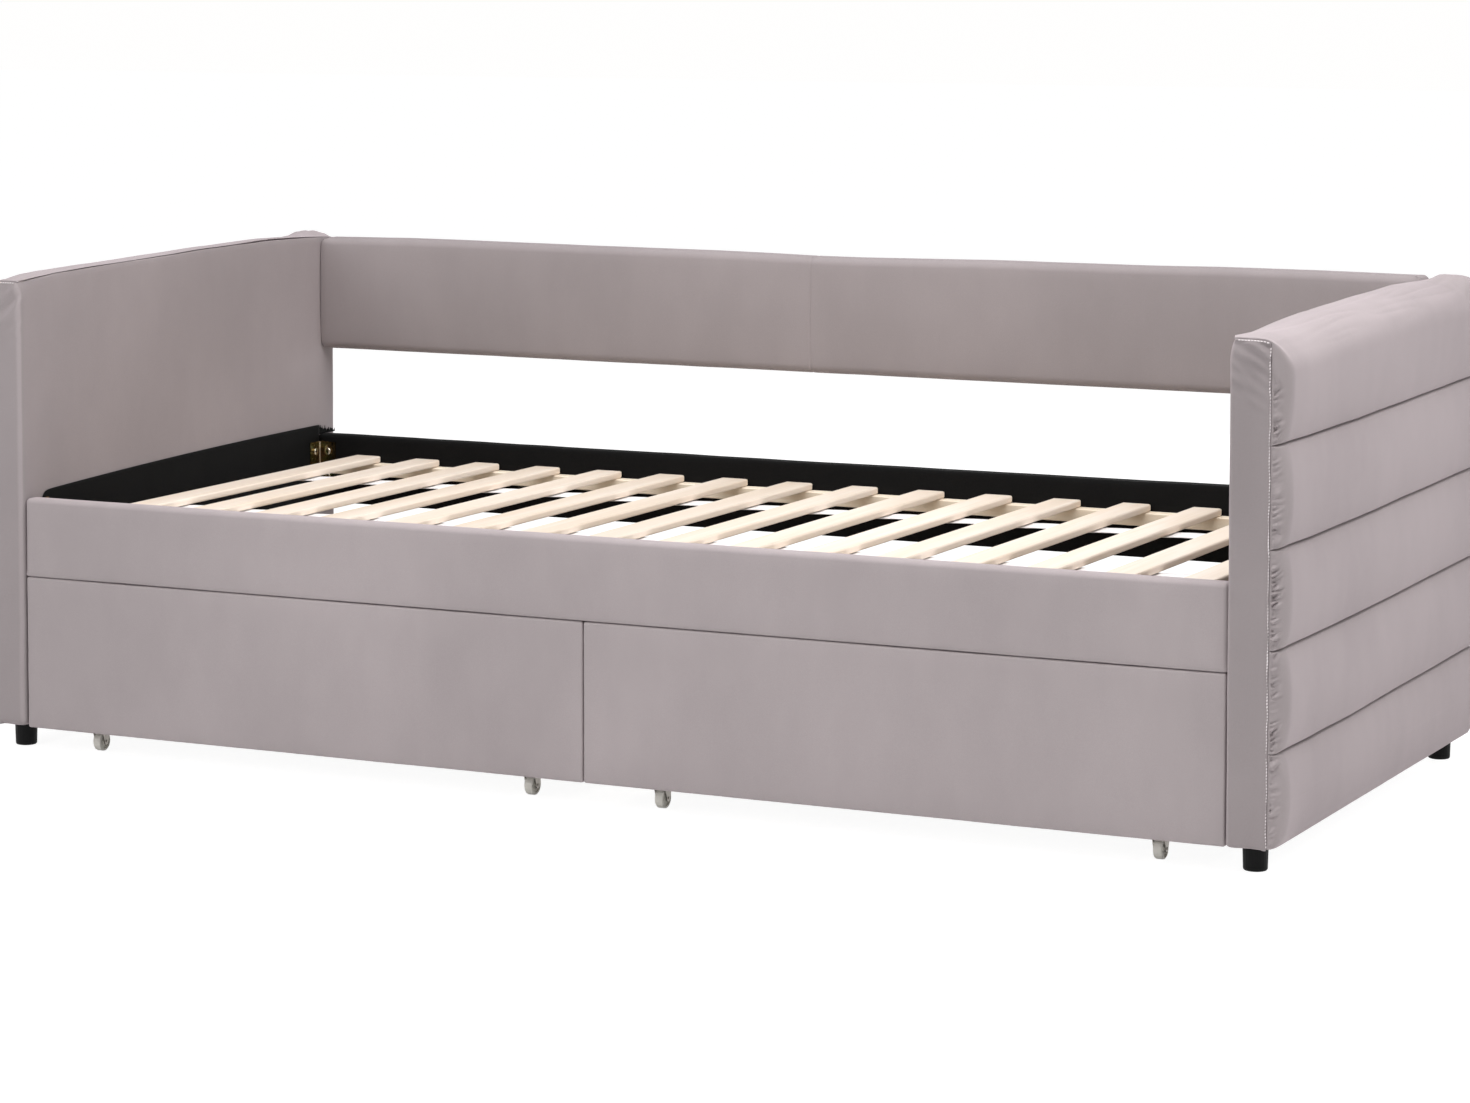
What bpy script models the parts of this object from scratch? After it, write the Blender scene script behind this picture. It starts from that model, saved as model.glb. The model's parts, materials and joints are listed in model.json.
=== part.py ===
"""Storage daybed: two channel-padded arms, a back panel, a slatted bed base and two drawers on castors.

Lengths are in metres and +Z is up. The front faces -Y, the long side runs along X, and the origin
lies on the floor under the middle of the bed. Places named "_Y" count back from the arms' front faces.
"""

import math

import bmesh
import bpy
from mathutils import Matrix, Vector

# Whole bed
WELL_LENGTH = 2.030
DEPTH = 1.000
FOOT_HEIGHT = 0.038
GAP = 0.0003

# Arms: a flat upholstered core, and a channelled pad on its outer side and top
ARM_THICKNESS = 0.060
ARM_TOP = 0.758
ARM_RISE = 0.0172
ARM_EDGE = 0.007
PAD_CROWN = 0.0245
PAD_HEM = 0.0025
PAD_INSET = 0.001
PAD_VALLEY = 0.0105
PAD_FOOT_VALLEY = 0.003
PAD_TOP_FALL = 0.055
PAD_END_FALL = 0.020
PAD_FRONT_FADE = 0.022
PAD_REAR_FADE = 0.016
SEAM_RISE = 0.0095
SEAM_HEIGHT_SHARES = (0.7913, 0.5879, 0.3907, 0.1889)
CHANNEL_STEP_SHARES = (0.04, 0.13, 0.30, 0.50, 0.70, 0.87, 0.96, 1.0)
HALF_CHANNEL_STEP_SHARES = (0.30, 0.60, 0.80, 0.93, 1.0)
CORE_STEP_SHARES = (0.75, 0.50, 0.25)
RISE_SHARES = (
    (0.0, 0.0),
    (0.10, 0.215),
    (0.20, 0.44),
    (0.31, 0.71),
    (0.45, 0.87),
    (0.55, 0.97),
    (0.78, 1.0),
    (0.90, 0.855),
    (1.0, 0.68),
)
# Bends of rounded edges: 2 is a circle, and a higher bend is squarer.
TOP_BEND = 2.5
END_BEND = 5.0
FADE_BEND = 3.0
SEAM_BEND = 1.3
TOP_STEPS = 8
FADE_STEPS = 5
CROWN_SHARE = 0.5

# Front rail and drawer line
FRONT_SETBACK = 0.006
RAIL_THICKNESS = 0.030
RAIL_TOP = 0.411
RAIL_BOTTOM = 0.2842
RAIL_EDGE = 0.008

# Rear rail
REAR_SETBACK = 0.029
REAR_RAIL_TOP = 0.417
REAR_RAIL_HEIGHT = 0.108

# Back panel
BACK_BOTTOM = 0.575
BACK_HEIGHT = 0.196
BACK_THICKNESS = 0.048
BACK_SETBACK = 0.002
BACK_EDGE = 0.014
BACK_TOP_CROWN = 0.010
BACK_FACE_CROWN = 0.004
BACK_STEPS = 5
EDGE_STEPS = 3

# Black lining inside the bed box
LINING = 0.001
LINING_SETBACK = 0.016
LINING_DROP = 0.001

# Slatted base
SLAT_COUNT = 16
SLAT_WIDTH = 0.050
SLAT_THICKNESS = 0.012
SLAT_END_MARGIN = 0.081
SLAT_TOP = 0.386
SLAT_EDGE = 0.003
SLAT_CLEARANCE = 0.002
LEDGE_DEPTH = 0.025
LEDGE_HEIGHT = 0.022
LEDGE_CLEARANCE = 0.004
LEDGE_EDGE = 0.0015
STRAP_WIDTH = 0.055
STRAP_THICKNESS = 0.0012
STRAP_INSET = 0.210

# Corner brackets and their bolts
BRACKET_FLANGE = 0.035
BRACKET_SHEET = 0.002
BRACKET_HEIGHT = 0.080
BRACKET_DROP = 0.0105
BOLT_HEAD_RADIUS = 0.0065
BOLT_HEAD_HEIGHT = 0.0035
BOLT_FROM_CORNER = 0.020
BOLT_FROM_END = 0.017
SOCKET_RADIUS = 0.0028
SOCKET_DEPTH = 0.0018
SOCKET_SIDES = 6
BOLT_SINK = 0.0008

# Feet
FOOT_RADIUS = 0.0185
FOOT_TAPER = 0.001
FOOT_EDGE = 0.003
FOOT_FROM_INNER_FACE = 0.0295
FOOT_FRONT_SETBACK = 0.047
FOOT_REAR_SETBACK = 0.024

# Drawers
DRAWER_GAP = 0.003
FRONT_THICKNESS = 0.025
FRONT_EDGE = 0.006
BOX_MARGIN = 0.035
BOX_DEPTH = 0.770
BOX_HEIGHT = 0.150
BOX_WALL = 0.012
BOTTOM_THICKNESS = 0.004
BOTTOM_LIFT = 0.0462

# Castors
WHEEL_RADIUS = 0.016
WHEEL_WIDTH = 0.014
WHEEL_SHOULDER = 0.0025
WHEEL_RECESS = 0.0025
WHEEL_RIM = 0.004
HUB_RADIUS = 0.0055
AXLE_RADIUS = 0.002
AXLE_CLEARANCE = 0.0004
AXLE_HEAD = 0.0012
FORK_SHEET = 0.0015
FORK_CLEARANCE = 0.0012
FORK_LENGTH = 0.022
FORK_TIP = 0.0055
FORK_STEPS = 4
FORK_PLATE_LENGTH = 0.040
FORK_PLATE_WIDTH = 0.034
CASTOR_SIDE_INSET = 0.075
CASTOR_FRONT_Y = 0.054
CASTOR_REAR_INSET = 0.045

# Shared
OVERRUN = 0.004
ROUND_STEPS = 24
WHEEL_STEPS = 20
SMALL_ROUND_STEPS = 16
SMOOTH_ANGLE = math.radians(35)

HALF_WELL = WELL_LENGTH / 2
FRONT = -DEPTH / 2
SIDES = (("left", -1), ("right", 1))
ALONG_X = Matrix(((0, 0, 1, 0), (1, 0, 0, 0), (0, 1, 0, 0), (0, 0, 0, 1)))

RAIL_FACE_Y = FRONT_SETBACK
RAIL_BACK_Y = RAIL_FACE_Y + RAIL_THICKNESS
REAR_RAIL_BACK_Y = DEPTH - REAR_SETBACK
REAR_RAIL_FACE_Y = REAR_RAIL_BACK_Y - RAIL_THICKNESS
REAR_RAIL_BOTTOM = REAR_RAIL_TOP - REAR_RAIL_HEIGHT
REAR_LINING_Y = REAR_RAIL_FACE_Y - GAP - LINING
SLAT_PITCH = (WELL_LENGTH - 2 * SLAT_END_MARGIN - SLAT_WIDTH) / (SLAT_COUNT - 1)
LEDGE_TOP = SLAT_TOP - SLAT_THICKNESS - GAP
BRACKET_TOP = REAR_RAIL_TOP - BRACKET_DROP
FRONT_TOP = RAIL_BOTTOM - DRAWER_GAP
FRONT_WIDTH = HALF_WELL - 1.5 * DRAWER_GAP
FRONT_BACK_Y = FRONT_SETBACK + FRONT_THICKNESS
DRAWER_CENTRE = HALF_WELL / 2 - DRAWER_GAP / 4
BOX_WIDTH = FRONT_WIDTH - 2 * BOX_MARGIN
BOX_FRONT_Y = FRONT_BACK_Y + GAP
BOX_REAR_Y = BOX_FRONT_Y + BOX_DEPTH
FORK_TOP = BOTTOM_LIFT - GAP


def clear_scene():
    for obj in list(bpy.data.objects):
        bpy.data.objects.remove(obj, do_unlink=True)


def new_collection(name):
    collection = bpy.data.collections.new(name)
    bpy.context.scene.collection.children.link(collection)
    return collection


def new_material(name, colour, roughness, metallic=0.0):
    material = bpy.data.materials.new(name)
    material.use_nodes = True
    shader = material.node_tree.nodes["Principled BSDF"]
    shader.inputs["Base Color"].default_value = (*colour, 1.0)
    shader.inputs["Roughness"].default_value = roughness
    shader.inputs["Metallic"].default_value = metallic
    material.diffuse_color = (*colour, 1.0)
    return material


clear_scene()
PARTS = new_collection("storage_daybed")
CUTTERS = new_collection("cutters")

VELVET = new_material("velvet", (0.38, 0.33, 0.33), 0.85)
LINING_CLOTH = new_material("lining_cloth", (0.012, 0.012, 0.012), 0.9)
PINE = new_material("pine", (0.80, 0.68, 0.52), 0.6)
WEBBING = new_material("webbing", (0.82, 0.80, 0.78), 0.8)
ZINC = new_material("zinc", (0.55, 0.45, 0.25), 0.35, 1.0)
FOOT_PLASTIC = new_material("foot_plastic", (0.015, 0.015, 0.015), 0.45)
PLYWOOD = new_material("plywood", (0.72, 0.60, 0.44), 0.6)
HARDBOARD = new_material("hardboard", (0.70, 0.68, 0.64), 0.6)
FORK_STEEL = new_material("fork_steel", (0.45, 0.45, 0.44), 0.4, 1.0)
WHEEL_PLASTIC = new_material("wheel_plastic", (0.55, 0.55, 0.52), 0.5)


def add_object(name, data, material, location=(0, 0, 0), parent=None, collection=PARTS):
    """Puts a mesh or curve in the scene as one named piece."""
    obj = bpy.data.objects.new(name, data)
    collection.objects.link(obj)
    obj.location = location
    obj.parent = parent
    if material and not data.materials:
        data.materials.append(material)
    return obj


def add_empty(name, location):
    empty = bpy.data.objects.new(name, None)
    PARTS.objects.link(empty)
    empty.location = location
    return empty


def round_edges(obj, width, segments):
    bevel = obj.modifiers.new("rounded_edges", "BEVEL")
    bevel.width = width
    bevel.segments = segments
    bevel.limit_method = "ANGLE"
    bevel.harden_normals = False
    return bevel


def block_mesh(name, size):
    """A box of real size about its own middle."""
    mesh = bpy.data.meshes.new(name)
    shape = bmesh.new()
    bmesh.ops.create_cube(shape, size=1.0, matrix=Matrix.Diagonal((*size, 1.0)))
    shape.to_mesh(mesh)
    shape.free()
    return mesh


def add_block(name, material, low, high, edge=0.0, segments=2, parent=None, collection=PARTS):
    """A box between two corners, given in world places, with its edges rounded."""
    low, high = Vector(low), Vector(high)
    size = high - low
    middle = (low + high) / 2
    offset = parent.location if parent else Vector()
    obj = add_object(name, block_mesh(name, size), material, middle - offset, parent, collection)
    if edge:
        round_edges(obj, edge, segments)
        obj.data.shade_smooth()
    return obj


def baked_mesh(obj, name):
    """The evaluated mesh of an object, which is then removed."""
    graph = bpy.context.evaluated_depsgraph_get()
    mesh = bpy.data.meshes.new_from_object(obj.evaluated_get(graph))
    mesh.name = name
    placed = obj.matrix_basis.copy()
    shape = bmesh.new()
    shape.from_mesh(mesh)
    bmesh.ops.remove_doubles(shape, verts=shape.verts, dist=GAP / 10)
    bmesh.ops.transform(shape, matrix=placed, verts=shape.verts)
    shape.to_mesh(mesh)
    shape.free()
    bpy.data.objects.remove(obj, do_unlink=True)
    return mesh


def outline_mesh(name, points, thickness, turn=Matrix.Identity(4)):
    """A flat outline in XY, thickened evenly about its plane and then turned."""
    curve = bpy.data.curves.new(name, "CURVE")
    curve.dimensions = "2D"
    curve.fill_mode = "BOTH"
    curve.extrude = thickness / 2
    spline = curve.splines.new("POLY")
    spline.points.add(len(points) - 1)
    for point, (x, y) in zip(spline.points, points):
        point.co = (x, y, 0.0, 1.0)
    spline.use_cyclic_u = True
    obj = add_object(name, curve, None)
    mesh = baked_mesh(obj, name)
    mesh.transform(turn)
    bpy.data.curves.remove(curve)
    return mesh


def cylinder_mesh(name, radius, length, steps, turn=Matrix.Identity(4)):
    mesh = bpy.data.meshes.new(name)
    shape = bmesh.new()
    bmesh.ops.create_cone(
        shape, cap_ends=True, segments=steps, radius1=radius, radius2=radius, depth=length, matrix=turn
    )
    shape.to_mesh(mesh)
    shape.free()
    return mesh


def combine(base, other, operation):
    """Joins or cuts one object with another. The other goes to the cutters."""
    boolean = base.modifiers.new(operation.lower(), "BOOLEAN")
    boolean.operation = operation
    boolean.solver = "EXACT"
    boolean.object = other
    other.hide_render = True
    other.display_type = "WIRE"


def baked_with_cutters(base, name, cutters):
    mesh = baked_mesh(base, name)
    for cutter in cutters:
        bpy.data.objects.remove(cutter, do_unlink=True)
    return mesh


def turned_mesh(name, profile, steps):
    """A profile of (radius, height) points, outer side first from top to bottom, turned about Z."""
    mesh = bpy.data.meshes.new(name)
    mesh.from_pydata([(r, 0, z) for r, z in profile], [(i, i + 1) for i in range(len(profile) - 1)], [])
    obj = add_object(name, mesh, None)
    screw = obj.modifiers.new("turned", "SCREW")
    screw.steps = steps
    screw.render_steps = steps
    screw.use_merge_vertices = True
    screw.merge_threshold = GAP / 10
    return baked_mesh(obj, name)


def loft_mesh(name, rings):
    """A closed skin over rings of equally many points, with a flat cap at each end."""
    mesh = bpy.data.meshes.new(name)
    shape = bmesh.new()
    rows = [[shape.verts.new(point) for point in ring] for ring in rings]
    count = len(rings[0])
    for here, there in zip(rows, rows[1:]):
        for i in range(count):
            j = (i + 1) % count
            shape.faces.new((here[i], here[j], there[j], there[i]))
    shape.faces.new(rows[0])
    shape.faces.new(rows[-1])
    bmesh.ops.recalc_face_normals(shape, faces=shape.faces)
    shape.to_mesh(mesh)
    shape.free()
    mesh.shade_smooth()
    mesh.set_sharp_from_angle(angle=SMOOTH_ANGLE)
    return mesh


def crown(share):
    """How far a stuffed channel stands out between two seams, from 0 at a seam to 1."""
    return max(math.sin(math.pi * share), 0.0) ** CROWN_SHARE


def arm_top(place):
    """Height of an arm's core at a distance from its front: it rises towards the back."""
    share = place / DEPTH
    for (near, low), (far, high) in zip(RISE_SHARES, RISE_SHARES[1:]):
        if share <= far:
            return ARM_TOP + ARM_RISE * (low + (high - low) * (share - near) / (far - near))
    return ARM_TOP + ARM_RISE * RISE_SHARES[-1][1]


def bent(angle, bend):
    """A point on a rounded corner of unit size: how far along and how far down. Bend 2 is a circle."""
    return math.sin(angle) ** (2 / bend), 1 - math.cos(angle) ** (2 / bend)


def top_fall(s):
    """How far the stuffed top has come down at a distance from its inner edge."""
    share = (s - PAD_INSET) / (ARM_THICKNESS + GAP + PAD_HEM + PAD_CROWN - PAD_INSET)
    return PAD_TOP_FALL * (1 - (1 - max(share, 0.0) ** TOP_BEND) ** (1 / TOP_BEND))


def pad_seat(top):
    """Inner line of the pad, from its foot to its inner top edge: it lies close on the arm's core."""
    side = ARM_THICKNESS + GAP
    between = [share * ARM_THICKNESS for share in CORE_STEP_SHARES]
    places = [side, ARM_THICKNESS - ARM_EDGE] + between + [PAD_INSET]
    return [(side, FOOT_HEIGHT)] + [(s, top - top_fall(s)) for s in places]


def pad_outline(top, rise):
    """Outer line of the pad, from its inner top edge to its foot: pairs of flat and stuffed points.

    Each point is (outwards from the arm's inner face, height).
    """
    flat_side = ARM_THICKNESS + GAP + PAD_HEM
    skin_top = top + PAD_HEM
    pairs = []
    for step in range(TOP_STEPS + 1):
        angle = math.pi / 2 * step / TOP_STEPS
        along, down = bent(angle, END_BEND)
        flat = (PAD_INSET + along * (flat_side - PAD_INSET), skin_top - down * PAD_END_FALL)
        along, down = bent(angle, TOP_BEND)
        full = (PAD_INSET + along * (flat_side + PAD_CROWN - PAD_INSET), skin_top - down * PAD_TOP_FALL)
        pairs.append((flat, full))
    seams = [FOOT_HEIGHT + share * (ARM_TOP - FOOT_HEIGHT) + rise for share in SEAM_HEIGHT_SHARES]
    flat_start, full_start = skin_top - PAD_END_FALL, skin_top - PAD_TOP_FALL
    for t in HALF_CHANNEL_STEP_SHARES:
        out = PAD_VALLEY + (PAD_CROWN - PAD_VALLEY) * crown((1 + t) / 2)
        flat = (flat_side, flat_start + t * (seams[0] - flat_start))
        full = (flat_side + out, full_start + t * (seams[0] - full_start))
        pairs.append((flat, full))
    for high, low in zip(seams, seams[1:] + [FOOT_HEIGHT]):
        for t in CHANNEL_STEP_SHARES:
            z = high + t * (low - high)
            at_foot = low == FOOT_HEIGHT and z < (high + low) / 2
            valley = PAD_FOOT_VALLEY if at_foot else PAD_VALLEY
            out = valley + (PAD_CROWN - valley) * crown(t)
            pairs.append(((flat_side, z), (flat_side + out, z)))
    return pairs


def rounded_places(length, near_fade, far_fade, steps, middle, bend=2.0):
    """Places along a length, each with how full the section is there: 0 at the ends, 1 between."""
    curve = [bent(math.pi / 2 * step / steps, bend) for step in range(steps + 1)]
    start = [(near_fade * away, full) for full, away in curve]
    finish = [(length - far_fade * away, full) for full, away in reversed(curve)]
    return start + [(place, 1.0) for place in middle] + finish


def rounded_section(low, high, radius):
    """A rectangle with rounded corners as a closed line, from its low corner to its high corner."""
    points = []
    corners = ((high[0], high[1]), (low[0], high[1]), (low[0], low[1]), (high[0], low[1]))
    for quarter, (u, v) in enumerate(corners):
        u += radius if quarter in (1, 2) else -radius
        v += radius if quarter in (2, 3) else -radius
        for step in range(EDGE_STEPS + 1):
            angle = math.pi / 2 * (quarter + step / EDGE_STEPS)
            points.append((u + radius * math.cos(angle), v + radius * math.sin(angle)))
    return points


def add_arm_core(name, side):
    """Upholstered board of the arm: a little higher towards the back, its top falling away outwards."""
    rings = []
    middle = [DEPTH * share for share, _ in RISE_SHARES[1:-1]]
    for place, full in rounded_places(DEPTH, ARM_EDGE, ARM_EDGE, EDGE_STEPS, middle):
        draw_in = ARM_EDGE * (1 - full) / 2
        low = (draw_in, FOOT_HEIGHT + draw_in)
        high = (ARM_THICKNESS - draw_in, arm_top(place) - draw_in)
        section = rounded_section(low, high, ARM_EDGE)
        corner = EDGE_STEPS + 1
        between = [(share * ARM_THICKNESS, high[1]) for share in CORE_STEP_SHARES]
        upper = section[:corner] + between + section[corner : 2 * corner]
        section = [(s, z - top_fall(s)) for s, z in upper] + section[2 * corner :]
        rings.append([(side * (HALF_WELL + s), FRONT + place, z) for s, z in section])
    add_object(name, loft_mesh(name, rings), VELVET)


def add_arm_pad(name, side):
    """Foam pad sewn in five channels. The top channel wraps over the arm."""
    rings = []
    middle = [DEPTH * share for share, _ in RISE_SHARES[1:-1]]
    for place, full in rounded_places(DEPTH, PAD_FRONT_FADE, PAD_REAR_FADE, FADE_STEPS, middle, FADE_BEND):
        top = arm_top(place) + GAP
        ring = pad_seat(top)
        for flat, stuffed in pad_outline(top, SEAM_RISE * (place / DEPTH) ** SEAM_BEND):
            ring.append((flat[0] + full * (stuffed[0] - flat[0]), flat[1] + full * (stuffed[1] - flat[1])))
        rings.append([(side * (HALF_WELL + s), FRONT + place, z) for s, z in ring])
    add_object(name, loft_mesh(name, rings), VELVET)


def add_back_panel():
    """Padded bar between the arms: rounded all round, a little fuller in its middle."""
    reach = HALF_WELL - GAP
    rear_y = FRONT + DEPTH - BACK_SETBACK
    rings = []
    middle = [2 * reach * (i + 1) / (BACK_STEPS + 1) for i in range(BACK_STEPS)]
    for place, full in rounded_places(2 * reach, BACK_EDGE, BACK_EDGE, EDGE_STEPS, middle):
        x = place - reach
        draw_in = BACK_EDGE * (1 - full) / 2
        swell = math.sqrt(max(1 - (x / reach) ** 2, 0.0))
        low = (rear_y - BACK_THICKNESS + draw_in, BACK_BOTTOM + draw_in)
        high = (rear_y - draw_in, BACK_BOTTOM + BACK_HEIGHT + BACK_TOP_CROWN * swell - draw_in)
        section = rounded_section(low, high, BACK_EDGE)
        face = (low[0] - BACK_FACE_CROWN * full, (low[1] + high[1]) / 2)
        section.insert(2 * (EDGE_STEPS + 1), face)
        rings.append([(x, y, z) for y, z in section])
    add_object("back_panel", loft_mesh("back_panel", rings), VELVET)


def add_arms():
    for side_name, side in SIDES:
        add_arm_core(f"arm_core_{side_name}", side)
        add_arm_pad(f"arm_pad_{side_name}", side)


def add_rails():
    reach = HALF_WELL - GAP
    add_block(
        "front_rail",
        VELVET,
        (-reach, FRONT + RAIL_FACE_Y, RAIL_BOTTOM),
        (reach, FRONT + RAIL_BACK_Y, RAIL_TOP),
        RAIL_EDGE,
        3,
    )
    add_block(
        "rear_rail",
        VELVET,
        (-reach, FRONT + REAR_RAIL_FACE_Y, REAR_RAIL_BOTTOM),
        (reach, FRONT + REAR_RAIL_BACK_Y, REAR_RAIL_TOP),
        ARM_EDGE / 2,
        2,
    )


def add_linings():
    """Thin black cloth: over the rear rail's face and top edge, and flat on each arm's inner face."""
    reach = HALF_WELL - GAP
    face = FRONT + REAR_RAIL_FACE_Y - GAP
    top = REAR_RAIL_TOP + GAP
    outline = [
        (face - LINING, REAR_RAIL_BOTTOM),
        (face, REAR_RAIL_BOTTOM),
        (face, top),
        (FRONT + REAR_RAIL_BACK_Y, top),
        (FRONT + REAR_RAIL_BACK_Y, top + LINING),
        (face - LINING, top + LINING),
    ]
    mesh = outline_mesh("rear_lining", outline, 2 * reach, ALONG_X)
    add_object("rear_lining", mesh, LINING_CLOTH)
    for side_name, side in SIDES:
        inner = side * (HALF_WELL - GAP)
        outer = side * (HALF_WELL - GAP - LINING)
        add_block(
            f"side_lining_{side_name}",
            LINING_CLOTH,
            (min(inner, outer), FRONT + RAIL_BACK_Y + LINING_SETBACK, REAR_RAIL_BOTTOM),
            (max(inner, outer), FRONT + REAR_LINING_Y - GAP, RAIL_TOP - LINING_DROP),
        )


def add_slatted_base():
    """Two ledges, the loose slats across them and the two webbing bands that space the slats."""
    ledge_reach = HALF_WELL - LINING - 2 * GAP - BRACKET_FLANGE - LEDGE_CLEARANCE
    ledge_starts = {"front": RAIL_BACK_Y + GAP, "rear": REAR_LINING_Y - GAP - LEDGE_DEPTH}
    for ledge_name, start in ledge_starts.items():
        add_block(
            f"ledge_{ledge_name}",
            PINE,
            (-ledge_reach, FRONT + start, LEDGE_TOP - LEDGE_HEIGHT),
            (ledge_reach, FRONT + start + LEDGE_DEPTH, LEDGE_TOP),
            LEDGE_EDGE,
            1,
        )
    start = RAIL_BACK_Y + SLAT_CLEARANCE
    finish = REAR_LINING_Y - SLAT_CLEARANCE
    size = (SLAT_WIDTH, finish - start, SLAT_THICKNESS)
    mesh = block_mesh("slat", size)
    mesh.shade_smooth()
    for i in range(SLAT_COUNT):
        x = (i - (SLAT_COUNT - 1) / 2) * SLAT_PITCH
        place = (x, FRONT + (start + finish) / 2, SLAT_TOP - SLAT_THICKNESS / 2)
        slat = add_object(f"slat_{i + 1:02d}", mesh, PINE, place)
        round_edges(slat, SLAT_EDGE, 2)
    strap_reach = SLAT_PITCH * (SLAT_COUNT - 1) / 2 + SLAT_WIDTH / 2
    strap_top = SLAT_TOP - SLAT_THICKNESS - GAP
    strap_starts = {"front": start + STRAP_INSET, "rear": finish - STRAP_INSET - STRAP_WIDTH}
    for strap_name, place in strap_starts.items():
        add_block(
            f"webbing_{strap_name}",
            WEBBING,
            (-strap_reach, FRONT + place, strap_top - STRAP_THICKNESS),
            (strap_reach, FRONT + place + STRAP_WIDTH, strap_top),
        )


def bracket_mesh():
    """A bent steel angle, its corner at the origin and its flanges along +X and +Y, with four bolts."""
    sheet, flange = BRACKET_SHEET, BRACKET_FLANGE
    outline = [(0, 0), (flange, 0), (flange, sheet), (sheet, sheet), (sheet, flange), (0, flange)]
    angle = add_object("angle", outline_mesh("angle", outline, BRACKET_HEIGHT), ZINC)
    helpers = []
    bolt_height = BRACKET_HEIGHT / 2 - BOLT_FROM_END
    length = BOLT_HEAD_HEIGHT + BOLT_SINK
    to_flange = {
        "x": (Matrix.Rotation(math.pi / 2, 4, "X"), (BOLT_FROM_CORNER, sheet, 0)),
        "y": (Matrix.Rotation(math.pi / 2, 4, "Y"), (sheet, BOLT_FROM_CORNER, 0)),
    }
    for turn, foot in to_flange.values():
        for height in (-bolt_height, bolt_height):
            out = Vector((0, 1, 0)) if foot[1] == sheet else Vector((1, 0, 0))
            seat = Vector(foot) + Vector((0, 0, height))
            head_mesh = cylinder_mesh("head", BOLT_HEAD_RADIUS, length, SMALL_ROUND_STEPS, turn)
            head = add_object("head", head_mesh, None)
            head.location = seat + out * (length / 2 - BOLT_SINK)
            socket_length = SOCKET_DEPTH + OVERRUN
            socket_mesh = cylinder_mesh("socket", SOCKET_RADIUS, socket_length, SOCKET_SIDES, turn)
            socket = add_object("socket", socket_mesh, None)
            socket.location = seat + out * (BOLT_HEAD_HEIGHT - SOCKET_DEPTH + socket_length / 2)
            combine(angle, head, "UNION")
            combine(angle, socket, "DIFFERENCE")
            helpers += [head, socket]
    return baked_with_cutters(angle, "corner_bracket", helpers)


def add_brackets():
    """An angle bracket in each corner of the bed box, bolted to a rail and an arm."""
    mesh = bracket_mesh()
    mesh.materials.append(ZINC)
    x = HALF_WELL - LINING - 2 * GAP
    z = BRACKET_TOP - BRACKET_HEIGHT / 2
    front_y = FRONT + RAIL_BACK_Y + GAP
    rear_y = FRONT + REAR_LINING_Y - GAP
    corners = (
        ("front_left", -x, front_y, 0),
        ("front_right", x, front_y, math.pi / 2),
        ("rear_right", x, rear_y, math.pi),
        ("rear_left", -x, rear_y, -math.pi / 2),
    )
    for corner_name, corner_x, corner_y, turn in corners:
        bracket = add_object(f"corner_bracket_{corner_name}", mesh, ZINC, (corner_x, corner_y, z))
        bracket.rotation_euler = (0, 0, turn)


def add_feet():
    """Turned plastic feet under the arms."""
    top = FOOT_HEIGHT - GAP
    low_radius = FOOT_RADIUS - FOOT_TAPER
    edge = [math.pi / 2 * step / EDGE_STEPS for step in range(EDGE_STEPS + 1)]
    profile = [(0, top), (FOOT_RADIUS, top)]
    for angle in edge:
        profile.append((low_radius - FOOT_EDGE * (1 - math.cos(angle)), FOOT_EDGE * (1 - math.sin(angle))))
    profile.append((0, 0))
    mesh = turned_mesh("foot", profile, ROUND_STEPS)
    mesh.shade_smooth()
    mesh.set_sharp_from_angle(angle=SMOOTH_ANGLE)
    for side_name, side in SIDES:
        for end_name, place in (("front", FOOT_FRONT_SETBACK), ("rear", DEPTH - FOOT_REAR_SETBACK)):
            x = side * (HALF_WELL + FOOT_FROM_INNER_FACE)
            add_object(f"foot_{end_name}_{side_name}", mesh, FOOT_PLASTIC, (x, FRONT + place, 0))


def wheel_mesh():
    """A moulded castor wheel with a rounded tread, sunk faces and a bored hub, its axle along X."""
    half = WHEEL_WIDTH / 2
    rim = WHEEL_RADIUS - WHEEL_RIM
    bore = AXLE_RADIUS + AXLE_CLEARANCE
    shoulder = WHEEL_SHOULDER
    sunk = half - WHEEL_RECESS
    outer = []
    for step in range(EDGE_STEPS + 1):
        angle = math.pi / 2 * (1 - step / EDGE_STEPS)
        r = WHEEL_RADIUS - shoulder * (1 - math.cos(angle))
        outer.append((r, half - shoulder * (1 - math.sin(angle))))
    face = [(bore, half), (HUB_RADIUS, half), (HUB_RADIUS, sunk), (rim, sunk), (rim, half)]
    upper = face + outer
    lower = [(r, -z) for r, z in reversed(upper)]
    profile = upper + lower + [upper[0]]
    mesh = turned_mesh("castor_wheel", profile, WHEEL_STEPS)
    mesh.transform(Matrix.Rotation(math.pi / 2, 4, "Y"))
    mesh.shade_smooth()
    mesh.set_sharp_from_angle(angle=SMOOTH_ANGLE)
    return mesh


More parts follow.
